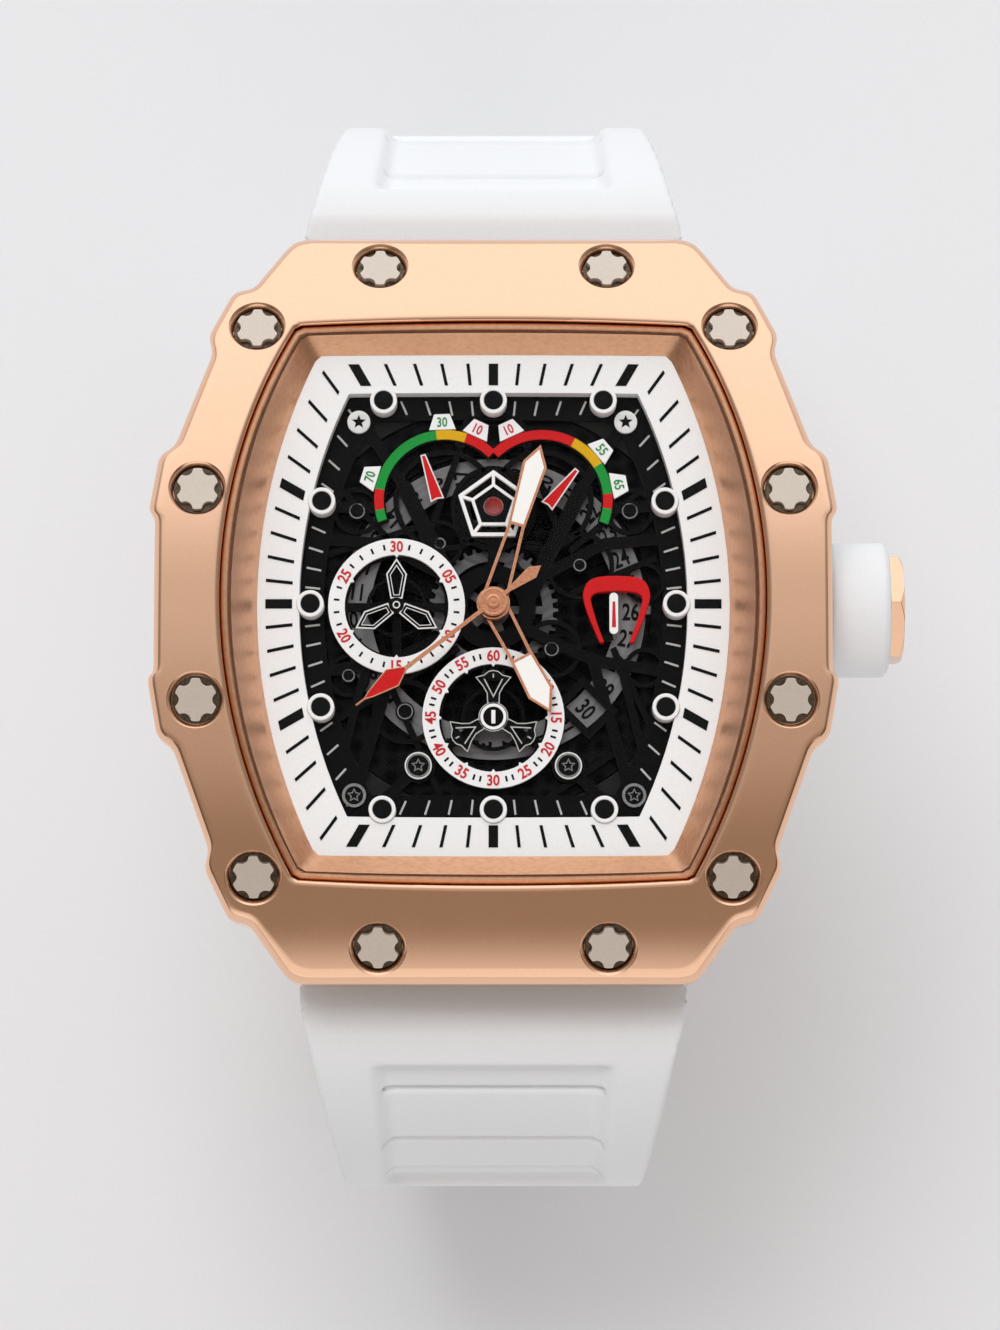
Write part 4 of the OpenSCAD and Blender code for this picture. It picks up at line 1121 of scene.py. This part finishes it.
    def _seats(self) -> list[Matrix]:
        """Return the moves that set a piece square on the bezel's face at each screw."""
        return [
            Matrix.Translation((sx * x * MM, 0, (self.height - self.arch) * MM))
            @ Matrix.Rotation(-sy * math.asin(y / self.arch), 4, "X")
            @ Matrix.Translation((0, 0, self.arch * MM))
            for x, y in self.screws for sx, sy in QUARTERS
        ]

    def _wall(self) -> None:
        """Loft the ring in the opening, which slopes down to the flange, and its seal, coloured dark
        rose-brown as a painted reflection.
        """
        turns = [-1.5 * i for i in range(240)]
        mouth, foot = self.opening.line(turns), self.flange.line(turns, self.wall_gap)
        rows = self._rows(mouth, foot, self.ridge)
        start, low = rows[-1], self.flange_top + self.wall_gap
        for share in (0.25, 0.5, 0.75, 1.0):
            rows.append([
                (*Vector(top[:2]).lerp(Vector(end), share), top[2] + (low - top[2]) * share)
                for top, end in zip(start, foot)
            ])
        rows.append([(x, y, low - self.wall_foot) for x, y in foot])
        rows.append([(x, y, low - self.wall_foot) for x, y, _ in rows[0]])
        self.fit(Bench.loft(rows), "inner_wall", ROSE_SATIN, "inner_ring")
        # The seal's rose-brown colour is a painted reflection line.
        self.fit(Bench.loft(self._rows(mouth, foot, self.seal)), "glass_seal", SEAL_PAINTED_REFLECTION, "crystal_gasket")

    def _glass(self) -> None:
        """Loft the arched crystal, whose rim sits in the seal."""
        rim = self.opening.line([-3 * i for i in range(120)], self.glass_back)
        outwards, inwards = (0.0, 0.3, 0.6, 0.85, 1.0), (1.0, 0.985, 0.85, 0.6, 0.3, 0.0)
        rows = [
            [(x * share, y * share, self._face(y * share, drop)) for x, y in rim]
            for drop, shares in zip(self.glass_drops, (outwards, inwards)) for share in shares
        ]
        rows[len(outwards)] = [(x, y, z - self.glass_roll) for x, y, z in rows[len(outwards)]]
        self.fit(Bench.loft(rows, False), "crystal_glass", CRYSTAL, "crystal")

    def _screws(self) -> None:
        """Make the six-lobed screw heads, and the steel floors, darkened as painted shade, and the shanks
        under them.
        """
        edge = []
        for i in range(120):
            off = math.radians(30 - (3 * i) % 60)
            side = self.notch**2 - (self.notch_away * math.sin(off)) ** 2
            cut = self.notch_away * math.cos(off) - math.sqrt(side) if side > 0 else self.head
            edge.append(clock(-3 * i, min(self.head, cut)))
        head = Bench.soften(Bench.plate(edge, *self.head_span), 0.06)
        self.fit(Bench.repeat(head, self._seats()), "bezel_screw_heads", STEEL, "bezel_screws")
        # The floors' dark colour is painted shade under the raised heads.
        floor = Bench.soften(Bench.disc(*self.floor), 0.04)
        floors = Bench.repeat(Bench.join([floor, Bench.disc(*self.shank, sides=24)]), self._seats())
        self.fit(floors, "bezel_screw_floors", SHADE_DARKENED_STEEL, "bezel_screws", "screw_steel")


@dataclass
class Movement(Assembly):
    """What lies under the openworked dial.

    Attributes:
        date_top: Height of the date ring's face.
        date_radius: Radius that the days stand on.
        window: Direction of the date window, anticlockwise from 3 o'clock.
        shown: Day that stands in the window.
        style: Height, squeeze and thickening of the days' type.
    """

    date_top: float = 5.95
    date_radius: float = 8.75
    window: float = -47.8
    shown: int = 30
    style: Place = (1.5, 0.72, 0.02)

    def build(self) -> None:
        """Dress the movement's parts, and print the days outwards round the date ring."""
        self.dress(BLACK_RUBBER, "movement_holder")
        self.dress(PEARLED, "main_plate")
        self.dress(SATIN_STEEL, "battery_cell")
        self.dress(BOARD, "circuit_board")
        self.dress(COPPER, "drive_coil")
        self.dress(BLACK_SATIN, "train_bridge")
        self.dress(NICKEL, "centre_wheel", "upper_wheel")
        self.dress(DATE_SILVER, "date_ring")
        days = []
        for day in range(1, 32):
            turn = self.window + (self.shown - day) * 360 / 31
            at = (*clock(90 - turn, self.date_radius), self.date_top)
            days.append(Bench.letters(str(day), at, turn, self.style))
        self.fit(Bench.join(days), "date_figures", BLACK_PRINT, "date_ring", "dial_black")


COUNTER: Point = (-6.15, 0.0)
SECONDS: Point = (0.0, -7.16)


@dataclass
class Dial(Assembly):
    """Openworked dial with its flange, posts, ticks, subdials, gauge, indicator and screws.

    Attributes:
        top: Height of the black plate.
        posts: Places of the hour posts in one quarter.
        post_floor: Height of the floor of a post's recess.
        cap: Radius and height of the black disc in it.
        flange_edge: Inner outline of the white flange.
        line: Width, length and height of a fine minute line.
        line_back: How far its middle stands in from the flange.
        ring_top: Height of the subdials' rings.
        stroke: Width, length and height of a stroke on them.
        lobes: Middle of the gauge's right arc.
        marks: Side, direction and text of the gauge's figures.
        mark_away: From an arc's middle to a figure.
        mark_top: Height of the face that the figures stand on.
        mark_style: Height, squeeze and thickening of the figures' type.
        ring_style: The same for the subdials' figures.
        needles: Foot and tip of the gauge's needles.
        needle: Half widths of a needle at its foot and tip, and width of its white edge.
        needle_span: Heights of that edge.
        pentagon: Middle of the pentagon.
        pentagon_top: Height of the pentagon's floor.
        indicator: Middle line of the indicator.
        loop: Right half of the indicator's outline, and of its inner one.
        loop_span: Heights of the indicator.
        stripe: Outline of the red stripe in it.
        stripe_span: Heights of the stripe.
        bright: Middles of the bright screws.
        dark: Middles of the dark screws.
        screw_top: Height of the screws' heads.
        bridge_rings: Middle, radius and width of the fine rings in the openings.
        bridge_bars: Ends of the fine bars.
        bosses: Middle and radius of the round bosses.
        bridge_span: How far the bridges' underside and top lie below the plate's face.
        bar_width: Width of the fine bars.
        boss_rise: How far the bosses stand above the bridges.
    """

    top: float = 6.75
    posts: tuple[Point, ...] = ((0.0, 13.1), (7.0, 13.1), (10.9, 6.6), (11.6, 0.0))
    post_floor: float = 8.15
    cap: Point = (0.6, 0.07)
    flange_edge: Barrel = Barrel(12.3, 13.6, 3.1)
    line: Place = (0.13, 0.95, 0.05)
    line_back: float = 0.78
    ring_top: float = 7.15
    stroke: Place = (0.13, 0.36, 0.03)
    lobes: Point = (3.1, 6.9)
    marks: tuple[tuple[int, int, str], ...] = (
        (-1, 163, "70"), (-1, 92, "30"), (-1, 65, "10"), (1, 115, "10"), (1, 40, "55"), (1, 11, "65"),
    )
    mark_away: float = 5.0
    mark_top: float = 7.05
    mark_style: Place = (0.86, 0.8, 0.016)
    ring_style: Place = (0.95, 0.88, 0.022)
    needles: tuple[tuple[Point, Point], ...] = (((-3.56, 6.8), (-4.5, 9.76)), ((3.4, 6.42), (5.34, 8.8)))
    needle: Place = (0.45, 0.17, 0.085)
    needle_span: Point = (7.16, 7.23)
    pentagon: Point = (0.0, 6.4)
    pentagon_top: float = 7.2
    indicator: float = 7.83
    loop: tuple[tuple[Point, ...], ...] = (
        ((1.09, -2.35), (1.78, -0.7), (2.13, 0.5), (2.05, 1.15), (1.74, 1.63), (1.1, 1.88), (0, 1.95)),
        ((0.79, -2.35), (1.3, -0.9), (1.62, 0.35), (1.5, 0.7), (1.1, 0.88), (0, 0.97)),
    )
    loop_span: Point = (6.3, 7.2)
    stripe: tuple[Point, ...] = ((7.53, -1.35), (7.79, -1.35), (7.74, 0.3), (7.58, 0.3))
    stripe_span: Point = (7.0, 7.08)
    bright: tuple[Point, ...] = ((-8.6, 11.9), (8.45, 11.9))
    dark: tuple[Point, ...] = ((-4.75, -10.2), (4.75, -10.2), (-8.8, -12.1), (8.9, -12.1))
    screw_top: float = 7.05
    bridge_rings: tuple[tuple[float, float, float, float], ...] = (
        (3.1, 6.9, 3.3, 0.34), (-3.1, 6.9, 3.3, 0.34), (0.0, 6.4, 2.75, 0.36), (-8.7, 6.2, 1.55, 0.3),
        (8.7, 6.2, 1.55, 0.3), (-6.15, 0.0, 1.95, 0.24), (-9.2, -4.4, 1.4, 0.28), (-5.6, -6.7, 2.1, 0.32),
        (0.0, -7.16, 2.05, 0.24), (9.6, -3.9, 1.3, 0.28), (5.5, 2.7, 2.2, 0.3), (-3.4, 4.1, 1.5, 0.24),
        (3.7, -2.7, 1.9, 0.3), (-6.15, 0.0, 4.4, 0.3), (2.4, 3.2, 1.1, 0.22), (9.6, 1.6, 1.3, 0.26),
    )
    bridge_bars: tuple[tuple[Point, Point], ...] = (
        ((-10.6, 8.6), (-5.3, 2.9)), ((10.6, 8.6), (4.9, 3.6)), ((-10.2, -7.4), (-2.2, -2.6)),
        ((10.2, -8.2), (7.6, -2.6)), ((-1.7, 11.4), (-4.6, 3.4)), ((1.7, 11.4), (4.4, 4.4)),
        ((10.4, 3.2), (5.0, 0.9)), ((-3.3, -12.2), (-7.0, -4.0)), ((3.5, -12.2), (8.2, -9.0)),
        ((-10.6, 3.4), (-4.0, 5.4)), ((1.6, -3.4), (7.6, -1.9)),
    )
    bosses: tuple[Place, ...] = (
        (-8.7, 6.2, 0.6), (8.7, 6.2, 0.6), (3.7, -2.7, 0.55), (-5.6, -6.7, 0.6), (5.5, 2.7, 0.5),
        (-3.4, 4.1, 0.45), (-9.2, -4.4, 0.5),
    )
    bridge_span: Point = (0.42, 0.1)
    bar_width: float = 0.42
    boss_rise: float = 0.08

    def build(self) -> None:
        """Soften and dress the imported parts, then print and fit the details."""
        self.refine(BLACK_SATIN, 0.06, "dial_plate")
        self.refine(WHITE_LACQUER, 0.06, "dial_flange")
        self.dress(BLACK_PRINT, "minute_ticks")
        self.refine(WHITE_LACQUER, 0.05, "hour_posts")
        self.refine(PALE_STEEL, 0.03, "dial_screws")
        self.dress(WHITE_LACQUER, "counter_ring", "seconds_ring", "gauge_labels")
        self.dress(GREEN, "gauge_green")
        self.dress(YELLOW, "gauge_yellow")
        self.dress(RED, "gauge_red", "gauge_pointers")
        self.dress(WHITE_LACQUER, "pentagon_bridge", "indicator_pointer")
        self.dress(RUBY, "jewel")
        self._bridges()
        self._lines()
        self._screws()
        self._rings()
        self._gauge()
        self._frames()

    def _add(self, items: Iterable[Item], name: str, finish: Finish, slot: str) -> None:
        """Join items into one piece that stays with the case."""
        self.fit(Bench.join(items), name, finish, "dial_plate", slot)

    def _bridges(self) -> None:
        """Cross the openings with fine rings, bars and bosses, a little below the plate's face."""
        low, high = (self.top - below for below in self.bridge_span)
        items = [Bench.hoop(r, r - width, low, high, (x, y), 48) for x, y, r, width in self.bridge_rings]
        for start, end in self.bridge_bars:
            middle, along = (Vector(start) + Vector(end)) / 2, Vector(end) - Vector(start)
            size = (along.length, self.bar_width, high - low - 0.06)
            turn = math.degrees(math.atan2(along.y, along.x))
            items.append(Bench.block(size, (*middle, (low + high) / 2 - 0.02), turn))
        foot = high + self.boss_rise
        items += [Bench.disc(radius, low, foot, (x, y), 32) for x, y, radius in self.bosses]
        items = [Bench.soften(item, 0.04, 1) for item in items]
        self._add(items, "fine_bridges", BLACK_SATIN, "dial_black")
        rims = [Bench.hoop(r - 0.1, r - 0.17, foot, foot + 0.02, (x, y), 32) for x, y, r in self.bosses]
        self._add(rims, "boss_rims", DIM_PRINT, "dial_white")

    def _lines(self) -> None:
        """Print the fine minute lines inside the flange, and fill the hour posts with black discs."""
        line = Bench.soften(Bench.block(self.line, (0, 0, self.top + self.line[2] / 2)), 0.012, 1)
        turns = [6 * minute for minute in range(60) if minute % 5]
        places = [stand(turn, self.flange_edge.reach(turn) - self.line_back) for turn in turns]
        self._add([Bench.repeat(line, places)], "minute_lines", GREY_PRINT, "dial_white")
        radius, height = self.cap
        cap = Bench.soften(Bench.disc(radius, self.post_floor, self.post_floor + height), 0.02)
        places = sorted({(x * sx, y * sy) for x, y in self.posts for sx, sy in QUARTERS})
        moves = [Matrix.Translation((x * MM, y * MM, 0)) for x, y in places]
        self._add([Bench.repeat(cap, moves)], "post_caps", BLACK_PRINT, "dial_black")

    def _screws(self) -> None:
        """Cut the star slots of the two bright screws and the four dark ones."""
        low = self.screw_top
        slots = [Bench.plate(star(0.47, 0.2, p), low + 0.01, low + 0.065) for p in self.bright]
        self._add(slots, "screw_stars", BLACK_PRINT, "dial_black")
        high = low + 0.08
        covers = [Bench.soften(Bench.disc(0.77, low, high, p), 0.02) for p in self.dark]
        self._add(covers, "dark_screw_covers", BLACK_SATIN, "dial_black")
        marks = [Bench.plate(star(0.46, 0.23, p), high, high + 0.02, star(0.34, 0.15, p)) for p in self.dark]
        marks += [Bench.hoop(0.74, 0.66, high, high + 0.01, p) for p in self.dark[:2]]
        marks += [Bench.hoop(0.76, 0.58, high, high + 0.02, p) for p in self.dark[2:]]
        self._add(marks, "dark_screw_marks", DIM_PRINT, "dial_white")

    def _rings(self) -> None:
        """Print the figures and strokes of the two subdials."""
        low = self.ring_top
        figures, strokes = [], []
        stroke = Bench.soften(Bench.block(self.stroke, (0, 0, low + self.stroke[2] / 2)), 0.01, 1)
        for at, radius, gaps, names in (
            (COUNTER, 3.83, (12, 24, 36, 48), ("30", "05", "10", "15", "20", "25")),
            (SECONDS, 3.98, (12, 18), ("60", *(f"{5 * i:02d}" for i in range(1, 12)))),
        ):
            for i, name in enumerate(names):
                away = 360 / len(names) * i
                turn = 180 - away if 90 < away < 270 else -away
                figures.append(Bench.letters(name, (*clock(away, radius, at), low), turn, self.ring_style))
                strokes += [stand(away + gap, radius, at) for gap in gaps]
        self._add(figures, "ring_figures", RED_PRINT, "gauge_red")
        self._add([Bench.repeat(stroke, strokes)], "ring_strokes", BLACK_PRINT, "dial_black")

    def _gauge(self) -> None:
        """Print the gauge's figures and edge its two needles in white."""
        for name, finish, wanted in (("green", GREEN_PRINT, "70 30 55 65"), ("red", RED_PRINT, "10")):
            figures = []
            for side, angle, text in self.marks:
                if text in wanted.split():
                    lobe = (side * self.lobes[0], self.lobes[1])
                    at = (*clock(90 - angle, self.mark_away, lobe), self.mark_top)
                    figures.append(Bench.letters(text, at, angle - 90, self.mark_style))
            self._add(figures, f"gauge_figures_{name}", finish, f"gauge_{name}")
        edges = []
        wide, narrow, rim = self.needle
        for foot, tip in self.needles:
            along = (tip[0] - foot[0], tip[1] - foot[1])
            length, turn = math.hypot(*along), math.degrees(math.atan2(along[1], along[0]))
            wedge = [(0.0, -wide), (length, -narrow), (length, narrow), (0.0, wide), (0.1, 0.0)]
            outer, inner = (turned(inset(wedge, depth), turn, foot) for depth in (0.0, rim))
            edges.append(Bench.plate(outer, *self.needle_span, inner))
        self._add(edges, "needle_edges", WHITE_PRINT, "dial_white")

    def _frames(self) -> None:
        """Darken the pentagon's middle, and make the indicator's loop and stripe."""
        low = self.pentagon_top
        floor = Bench.hoop(1.27, 0.78, low, low + 0.07, self.pentagon, 5)
        halo = Bench.hoop(0.79, 0.62, low, low + 0.09, self.pentagon)
        self._add([floor, halo], "pentagon_floor", BLACK_SATIN, "dial_black")
        outer, inner = (both(eased(half)) for half in self.loop)
        loop = turned([*outer, *reversed(inner)], 0, (self.indicator, 0))
        frame = Bench.soften(Bench.plate(loop, *self.loop_span), 0.07)
        self.fit(frame, "indicator_loop", RED, "indicator_frame")
        stripe = Bench.plate(self.stripe, *self.stripe_span)
        self._add([stripe], "indicator_stripe", RED_PRINT, "gauge_red")


@dataclass
class Hands(Assembly):
    """Hands of the time, the seconds and the two subdials.

    Attributes:
        top: Height of the subdial hands' face.
        chrono_turn: Direction of the chronograph's hand, clockwise from 12 o'clock.
        chrono_face: Height of its face.
        kite: Right half of its red end, drawn at 12 o'clock.
        counter_arm: Right half of an arm of the counter's hand.
        seconds_arm: Right half of an arm of the small seconds' hand.
        notch: The line in that arm.
        mark: The mark at its end.
        hub_rings: Radii, heights and sides of the rings on the central hub.
    """

    top: float = 7.6
    chrono_turn: float = 232.6
    chrono_face: float = 9.0
    kite: tuple[Point, ...] = ((0.12, 6.95), (0.68, 8.0), (0.26, 9.7), (0.0, 10.4))
    counter_arm: tuple[Point, ...] = ((0.38, 0.4), (0.66, 1.98), (0.0, 3.0))
    seconds_arm: tuple[Point, ...] = (
        (0.4, 0.85), (0.43, 1.5), (0.68, 1.95), (1.17, 2.55), (0.6, 2.7), (0.32, 2.94), (0.0, 3.0),
    )
    notch: tuple[Point, ...] = (
        (0.0, 1.22), (0.62, 2.42), (0.53, 2.42), (0.0, 1.38), (-0.53, 2.42), (-0.62, 2.42),
    )
    mark: tuple[Point, ...] = ((-0.04, 2.5), (0.04, 2.5), (0.04, 2.75), (-0.04, 2.75))
    hub_rings: tuple[tuple[float, float, float, float, int], ...] = (
        (0.86, 0.74, 8.98, 9.03, 48), (0.4, 0.24, 9.2, 9.27, 32),
    )

    def build(self) -> None:
        """Soften and dress the hands, then line the subdial hands."""
        self.refine(ROSE_HANDS, 0.035, "hour_hand", "minute_hand", "chrono_hand")
        self.dress(LUME, "hour_lume", "minute_lume")
        self._kite()
        self.refine(BLACK_SATIN, 0.025, "counter_hand", "small_seconds_hand")
        self._counter()
        self._seconds()
        rings = [Bench.hoop(*ring, sides=sides) for *ring, sides in self.hub_rings]
        hub = Bench.soften(Bench.join(rings), 0.015)
        self.fit(hub, "hub_rings", ROSE_HANDS, "chrono_hand", "rose_polished")

    def _kite(self) -> None:
        """Widen the red end of the chronograph's hand and frame it in gold."""
        kite = turned(both(self.kite), -self.chrono_turn)
        low, high = self.chrono_face - 0.2, self.chrono_face
        self.fit(Bench.plate(inset(kite, 0.06), low + 0.04, high + 0.03), "chrono_kite", RED, "chrono_tip")
        frame = Bench.soften(Bench.plate(kite, low + 0.01, high + 0.06, inset(kite, 0.09)), 0.02)
        self.fit(frame, "chrono_kite_frame", ROSE_HANDS, "chrono_tip", "rose_polished")

    @staticmethod
    def _arms(half: Outline, at: Point, depths: Point, low: float, high: float) -> list[Item]:
        """Frame the three arms of a subdial's hand, between two depths of its edge and two heights."""
        outer, inner = (inset(both(half), depth) for depth in depths)
        return [
            Bench.plate(turned(outer, turn, at), low, high, turned(inner, turn, at)) for turn in (0, 120, 240)
        ]

    def _counter(self) -> None:
        """Line the counter's hand in white and fill its arms."""
        top, arm = self.top, self.counter_arm
        lines = self._arms(arm, COUNTER, (0.0, 0.09), top, top + 0.03)
        lines += self._arms(arm, COUNTER, (0.22, 0.27), top - 0.04, top - 0.01)
        bands = self._arms(arm, COUNTER, (0.14, 0.27), top - 0.18, top - 0.04)
        bands.append(Bench.soften(Bench.disc(0.48, top - 0.02, top + 0.06, COUNTER, 32), 0.02))
        lines.append(Bench.hoop(0.24, 0.16, top + 0.06, top + 0.08, COUNTER, 32))
        self.fit(Bench.join(lines), "counter_lines", WHITE_PRINT, "counter_hand", "dial_white")
        self.fit(Bench.join(bands), "counter_bands", BLACK_SATIN, "counter_hand", "dial_black")

    def _seconds(self) -> None:
        """Line the small seconds' hand and ring its hub in white."""
        top, high, node = self.top, self.top + 0.02, "small_seconds_hand"
        lines = self._arms(self.seconds_arm, SECONDS, (0.01, 0.075), top, high)
        for turn in (0, 120, 240):
            lines += [Bench.plate(turned(part, turn, SECONDS), top, high) for part in (self.notch, self.mark)]
        lines.append(Bench.hoop(0.94, 0.88, top, high, SECONDS))
        self.fit(Bench.join(lines), "seconds_lines", GREY_PRINT, node, "dial_white")
        crown = Bench.hoop(0.83, 0.64, top + 0.06, top + 0.12, SECONDS)
        bar = Bench.block((0.26, 0.86, 0.06), (*SECONDS, top + 0.03))
        hub = Bench.soften(Bench.join([crown, bar]), 0.015)
        self.fit(hub, "seconds_hub", WHITE_LACQUER, node, "dial_white")


@dataclass
class Strap(Assembly):
    """Two strap halves, their bars and the folding clasp.

    Attributes:
        turn: Middle of the strap's bend beside the case, as its distance out and its height.
        bend: Outer radius of that bend.
        loop: Outer radius of the loop round the wrist.
        head_half: Half width beside the case.
        bend_half: Half width where the bend stands out most.
        clasp_half: Half width near the clasp.
        head_start: How far out the strap begins to taper.
        crease: Middle and half length of the hollow where the head meets the bend.
        hollow: Depth of that hollow.
        packed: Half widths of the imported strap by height.
        grooves: Directions of the grooves in the bend's window.
        loop_grooves: Directions of the grooves in the loop's window.
        groove: Depth of a groove.
        groove_half: Half width of what a groove moves.
        groove_spread: How softly its sides fall.
        window: Half width of the windows, and how deep their floors lie at least.
        voxel: Size of the grid that the skin is laid on again.
    """

    turn: Point = (17.5, -14.0)
    bend: float = 18.5
    loop: float = 36.0
    head_half: float = 12.7
    bend_half: float = 9.85
    clasp_half: float = 10.2
    head_start: float = 24.2
    crease: Point = (26.6, 3.6)
    hollow: float = 0.6
    packed: tuple[Point, ...] = ((8.0, 12.7), (1.5, 12.7), (-18.0, 10.75), (-30.0, 10.0), (-60.0, 10.0))
    grooves: tuple[float, ...] = (44.0, 27.0, 10.0)
    loop_grooves: tuple[float, ...] = (-2.7, -12.2, -21.7, -31.2)
    groove: float = 0.5
    groove_half: float = 0.5
    groove_spread: float = 0.19
    window: Point = (7.2, 1.8)
    voxel: float = 0.23

    def build(self) -> None:
        """Soften the strap's and the clasp's edges and dress them."""
        for half in ("strap_upper", "strap_lower"):
            self._half(half)
        self.refine(ROSE_BRUSHED, 0.08, "clasp_base", "clasp_blade")
        self.refine(ROSE, 0.15, "clasp_cover", segments=3)
        self.dress(ROSE, "button_left", "button_right")
        self.dress(SATIN_STEEL, "lug_bars", "spring_bar_upper", "spring_bar_lower")
        self.dress(SATIN_STEEL, "base_pin", "blade_pin", "button_springs")

    def _half(self, node: str) -> None:
        """Give half of the strap its straight taper, soft edges and grooves.

        Args:
            node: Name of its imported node.
        """
        item = self.twin(node)
        for vertex in item.data.vertices:
            x, y, z = vertex.co / MM
            vertex.co.x = self._narrow(x, abs(y), z) * MM
            near = 1 - abs(abs(y) - self.crease[0]) / self.crease[1]
            if near > 0 and z > -0.6:
                vertex.co.z -= self.hollow * near**2 * MM
        Bench.modify(item, "REMESH", mode="VOXEL", voxel_size=self.voxel * MM)
        Bench.modify(item, "SMOOTH", factor=0.5, iterations=7)
        for vertex in item.data.vertices:
            vertex.co += self._sink(vertex.co / MM) * MM
        self.fit(item, f"{node}_skin", SILICONE, node, angle=75)

    def _narrow(self, x: float, y: float, z: float) -> float:
        """Move a point sideways, so that the strap tapers evenly from the case to its bend.

        Args:
            x: How far the point stands to the right.
            y: How far out it stands from the case's middle.
            z: Its height.

        Returns:
            Its new x.
        """
        for (high, wide), (low, narrow) in zip(self.packed, self.packed[1:]):
            if z >= low:
                packed = wide + (narrow - wide) * (high - min(z, high)) / (high - low)
                break
        if z > self.turn[1]:
            share = min(max((y - self.head_start) / (self.turn[0] + self.bend - self.head_start), 0), 1)
            return x * (self.head_half + (self.bend_half - self.head_half) * share) / packed
        share = min((self.turn[1] - z) / 12, 1)
        return x * ((self.bend_half + (self.clasp_half - self.bend_half) * share) / packed)

    def _sink(self, place: Vector) -> Vector:
        """Find how a point of a window's floor moves into a groove.

        Args:
            place: The point.

        Returns:
            Its move.
        """
        x, y, z = place
        high = z > self.turn[1]
        middle = self.turn if high else (0.0, self.turn[1])
        radius = self.bend if high else self.loop
        arm = Vector((abs(y) - middle[0], z - middle[1]))
        if abs(x) > self.window[0] or arm.length <= radius - self.window[1]:
            return Vector()
        angle = math.degrees(math.atan2(arm.y, arm.x))
        grooves = self.grooves if high else self.loop_grooves
        near = min(abs(angle - g) * math.radians(1) * radius for g in grooves)
        if near >= self.groove_half:
            return Vector()
        arm.normalize()
        side = 1 if y > 0 else -1
        depth = self.groove * math.exp(-((near / self.groove_spread) ** 2))
        return Vector((0, side * arm.x, arm.y)) * -depth


def main() -> None:
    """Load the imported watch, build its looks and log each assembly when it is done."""
    logging.basicConfig(level=logging.INFO, format="%(name)s: %(message)s")
    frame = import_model()
    Studio().build()
    for assembly in (Case, Movement, Dial, Hands, Strap):
        assembly(frame["nodes"]).build()
        LOG.info("%s is done", assembly.__name__)


if __name__ == "__main__":
    main()
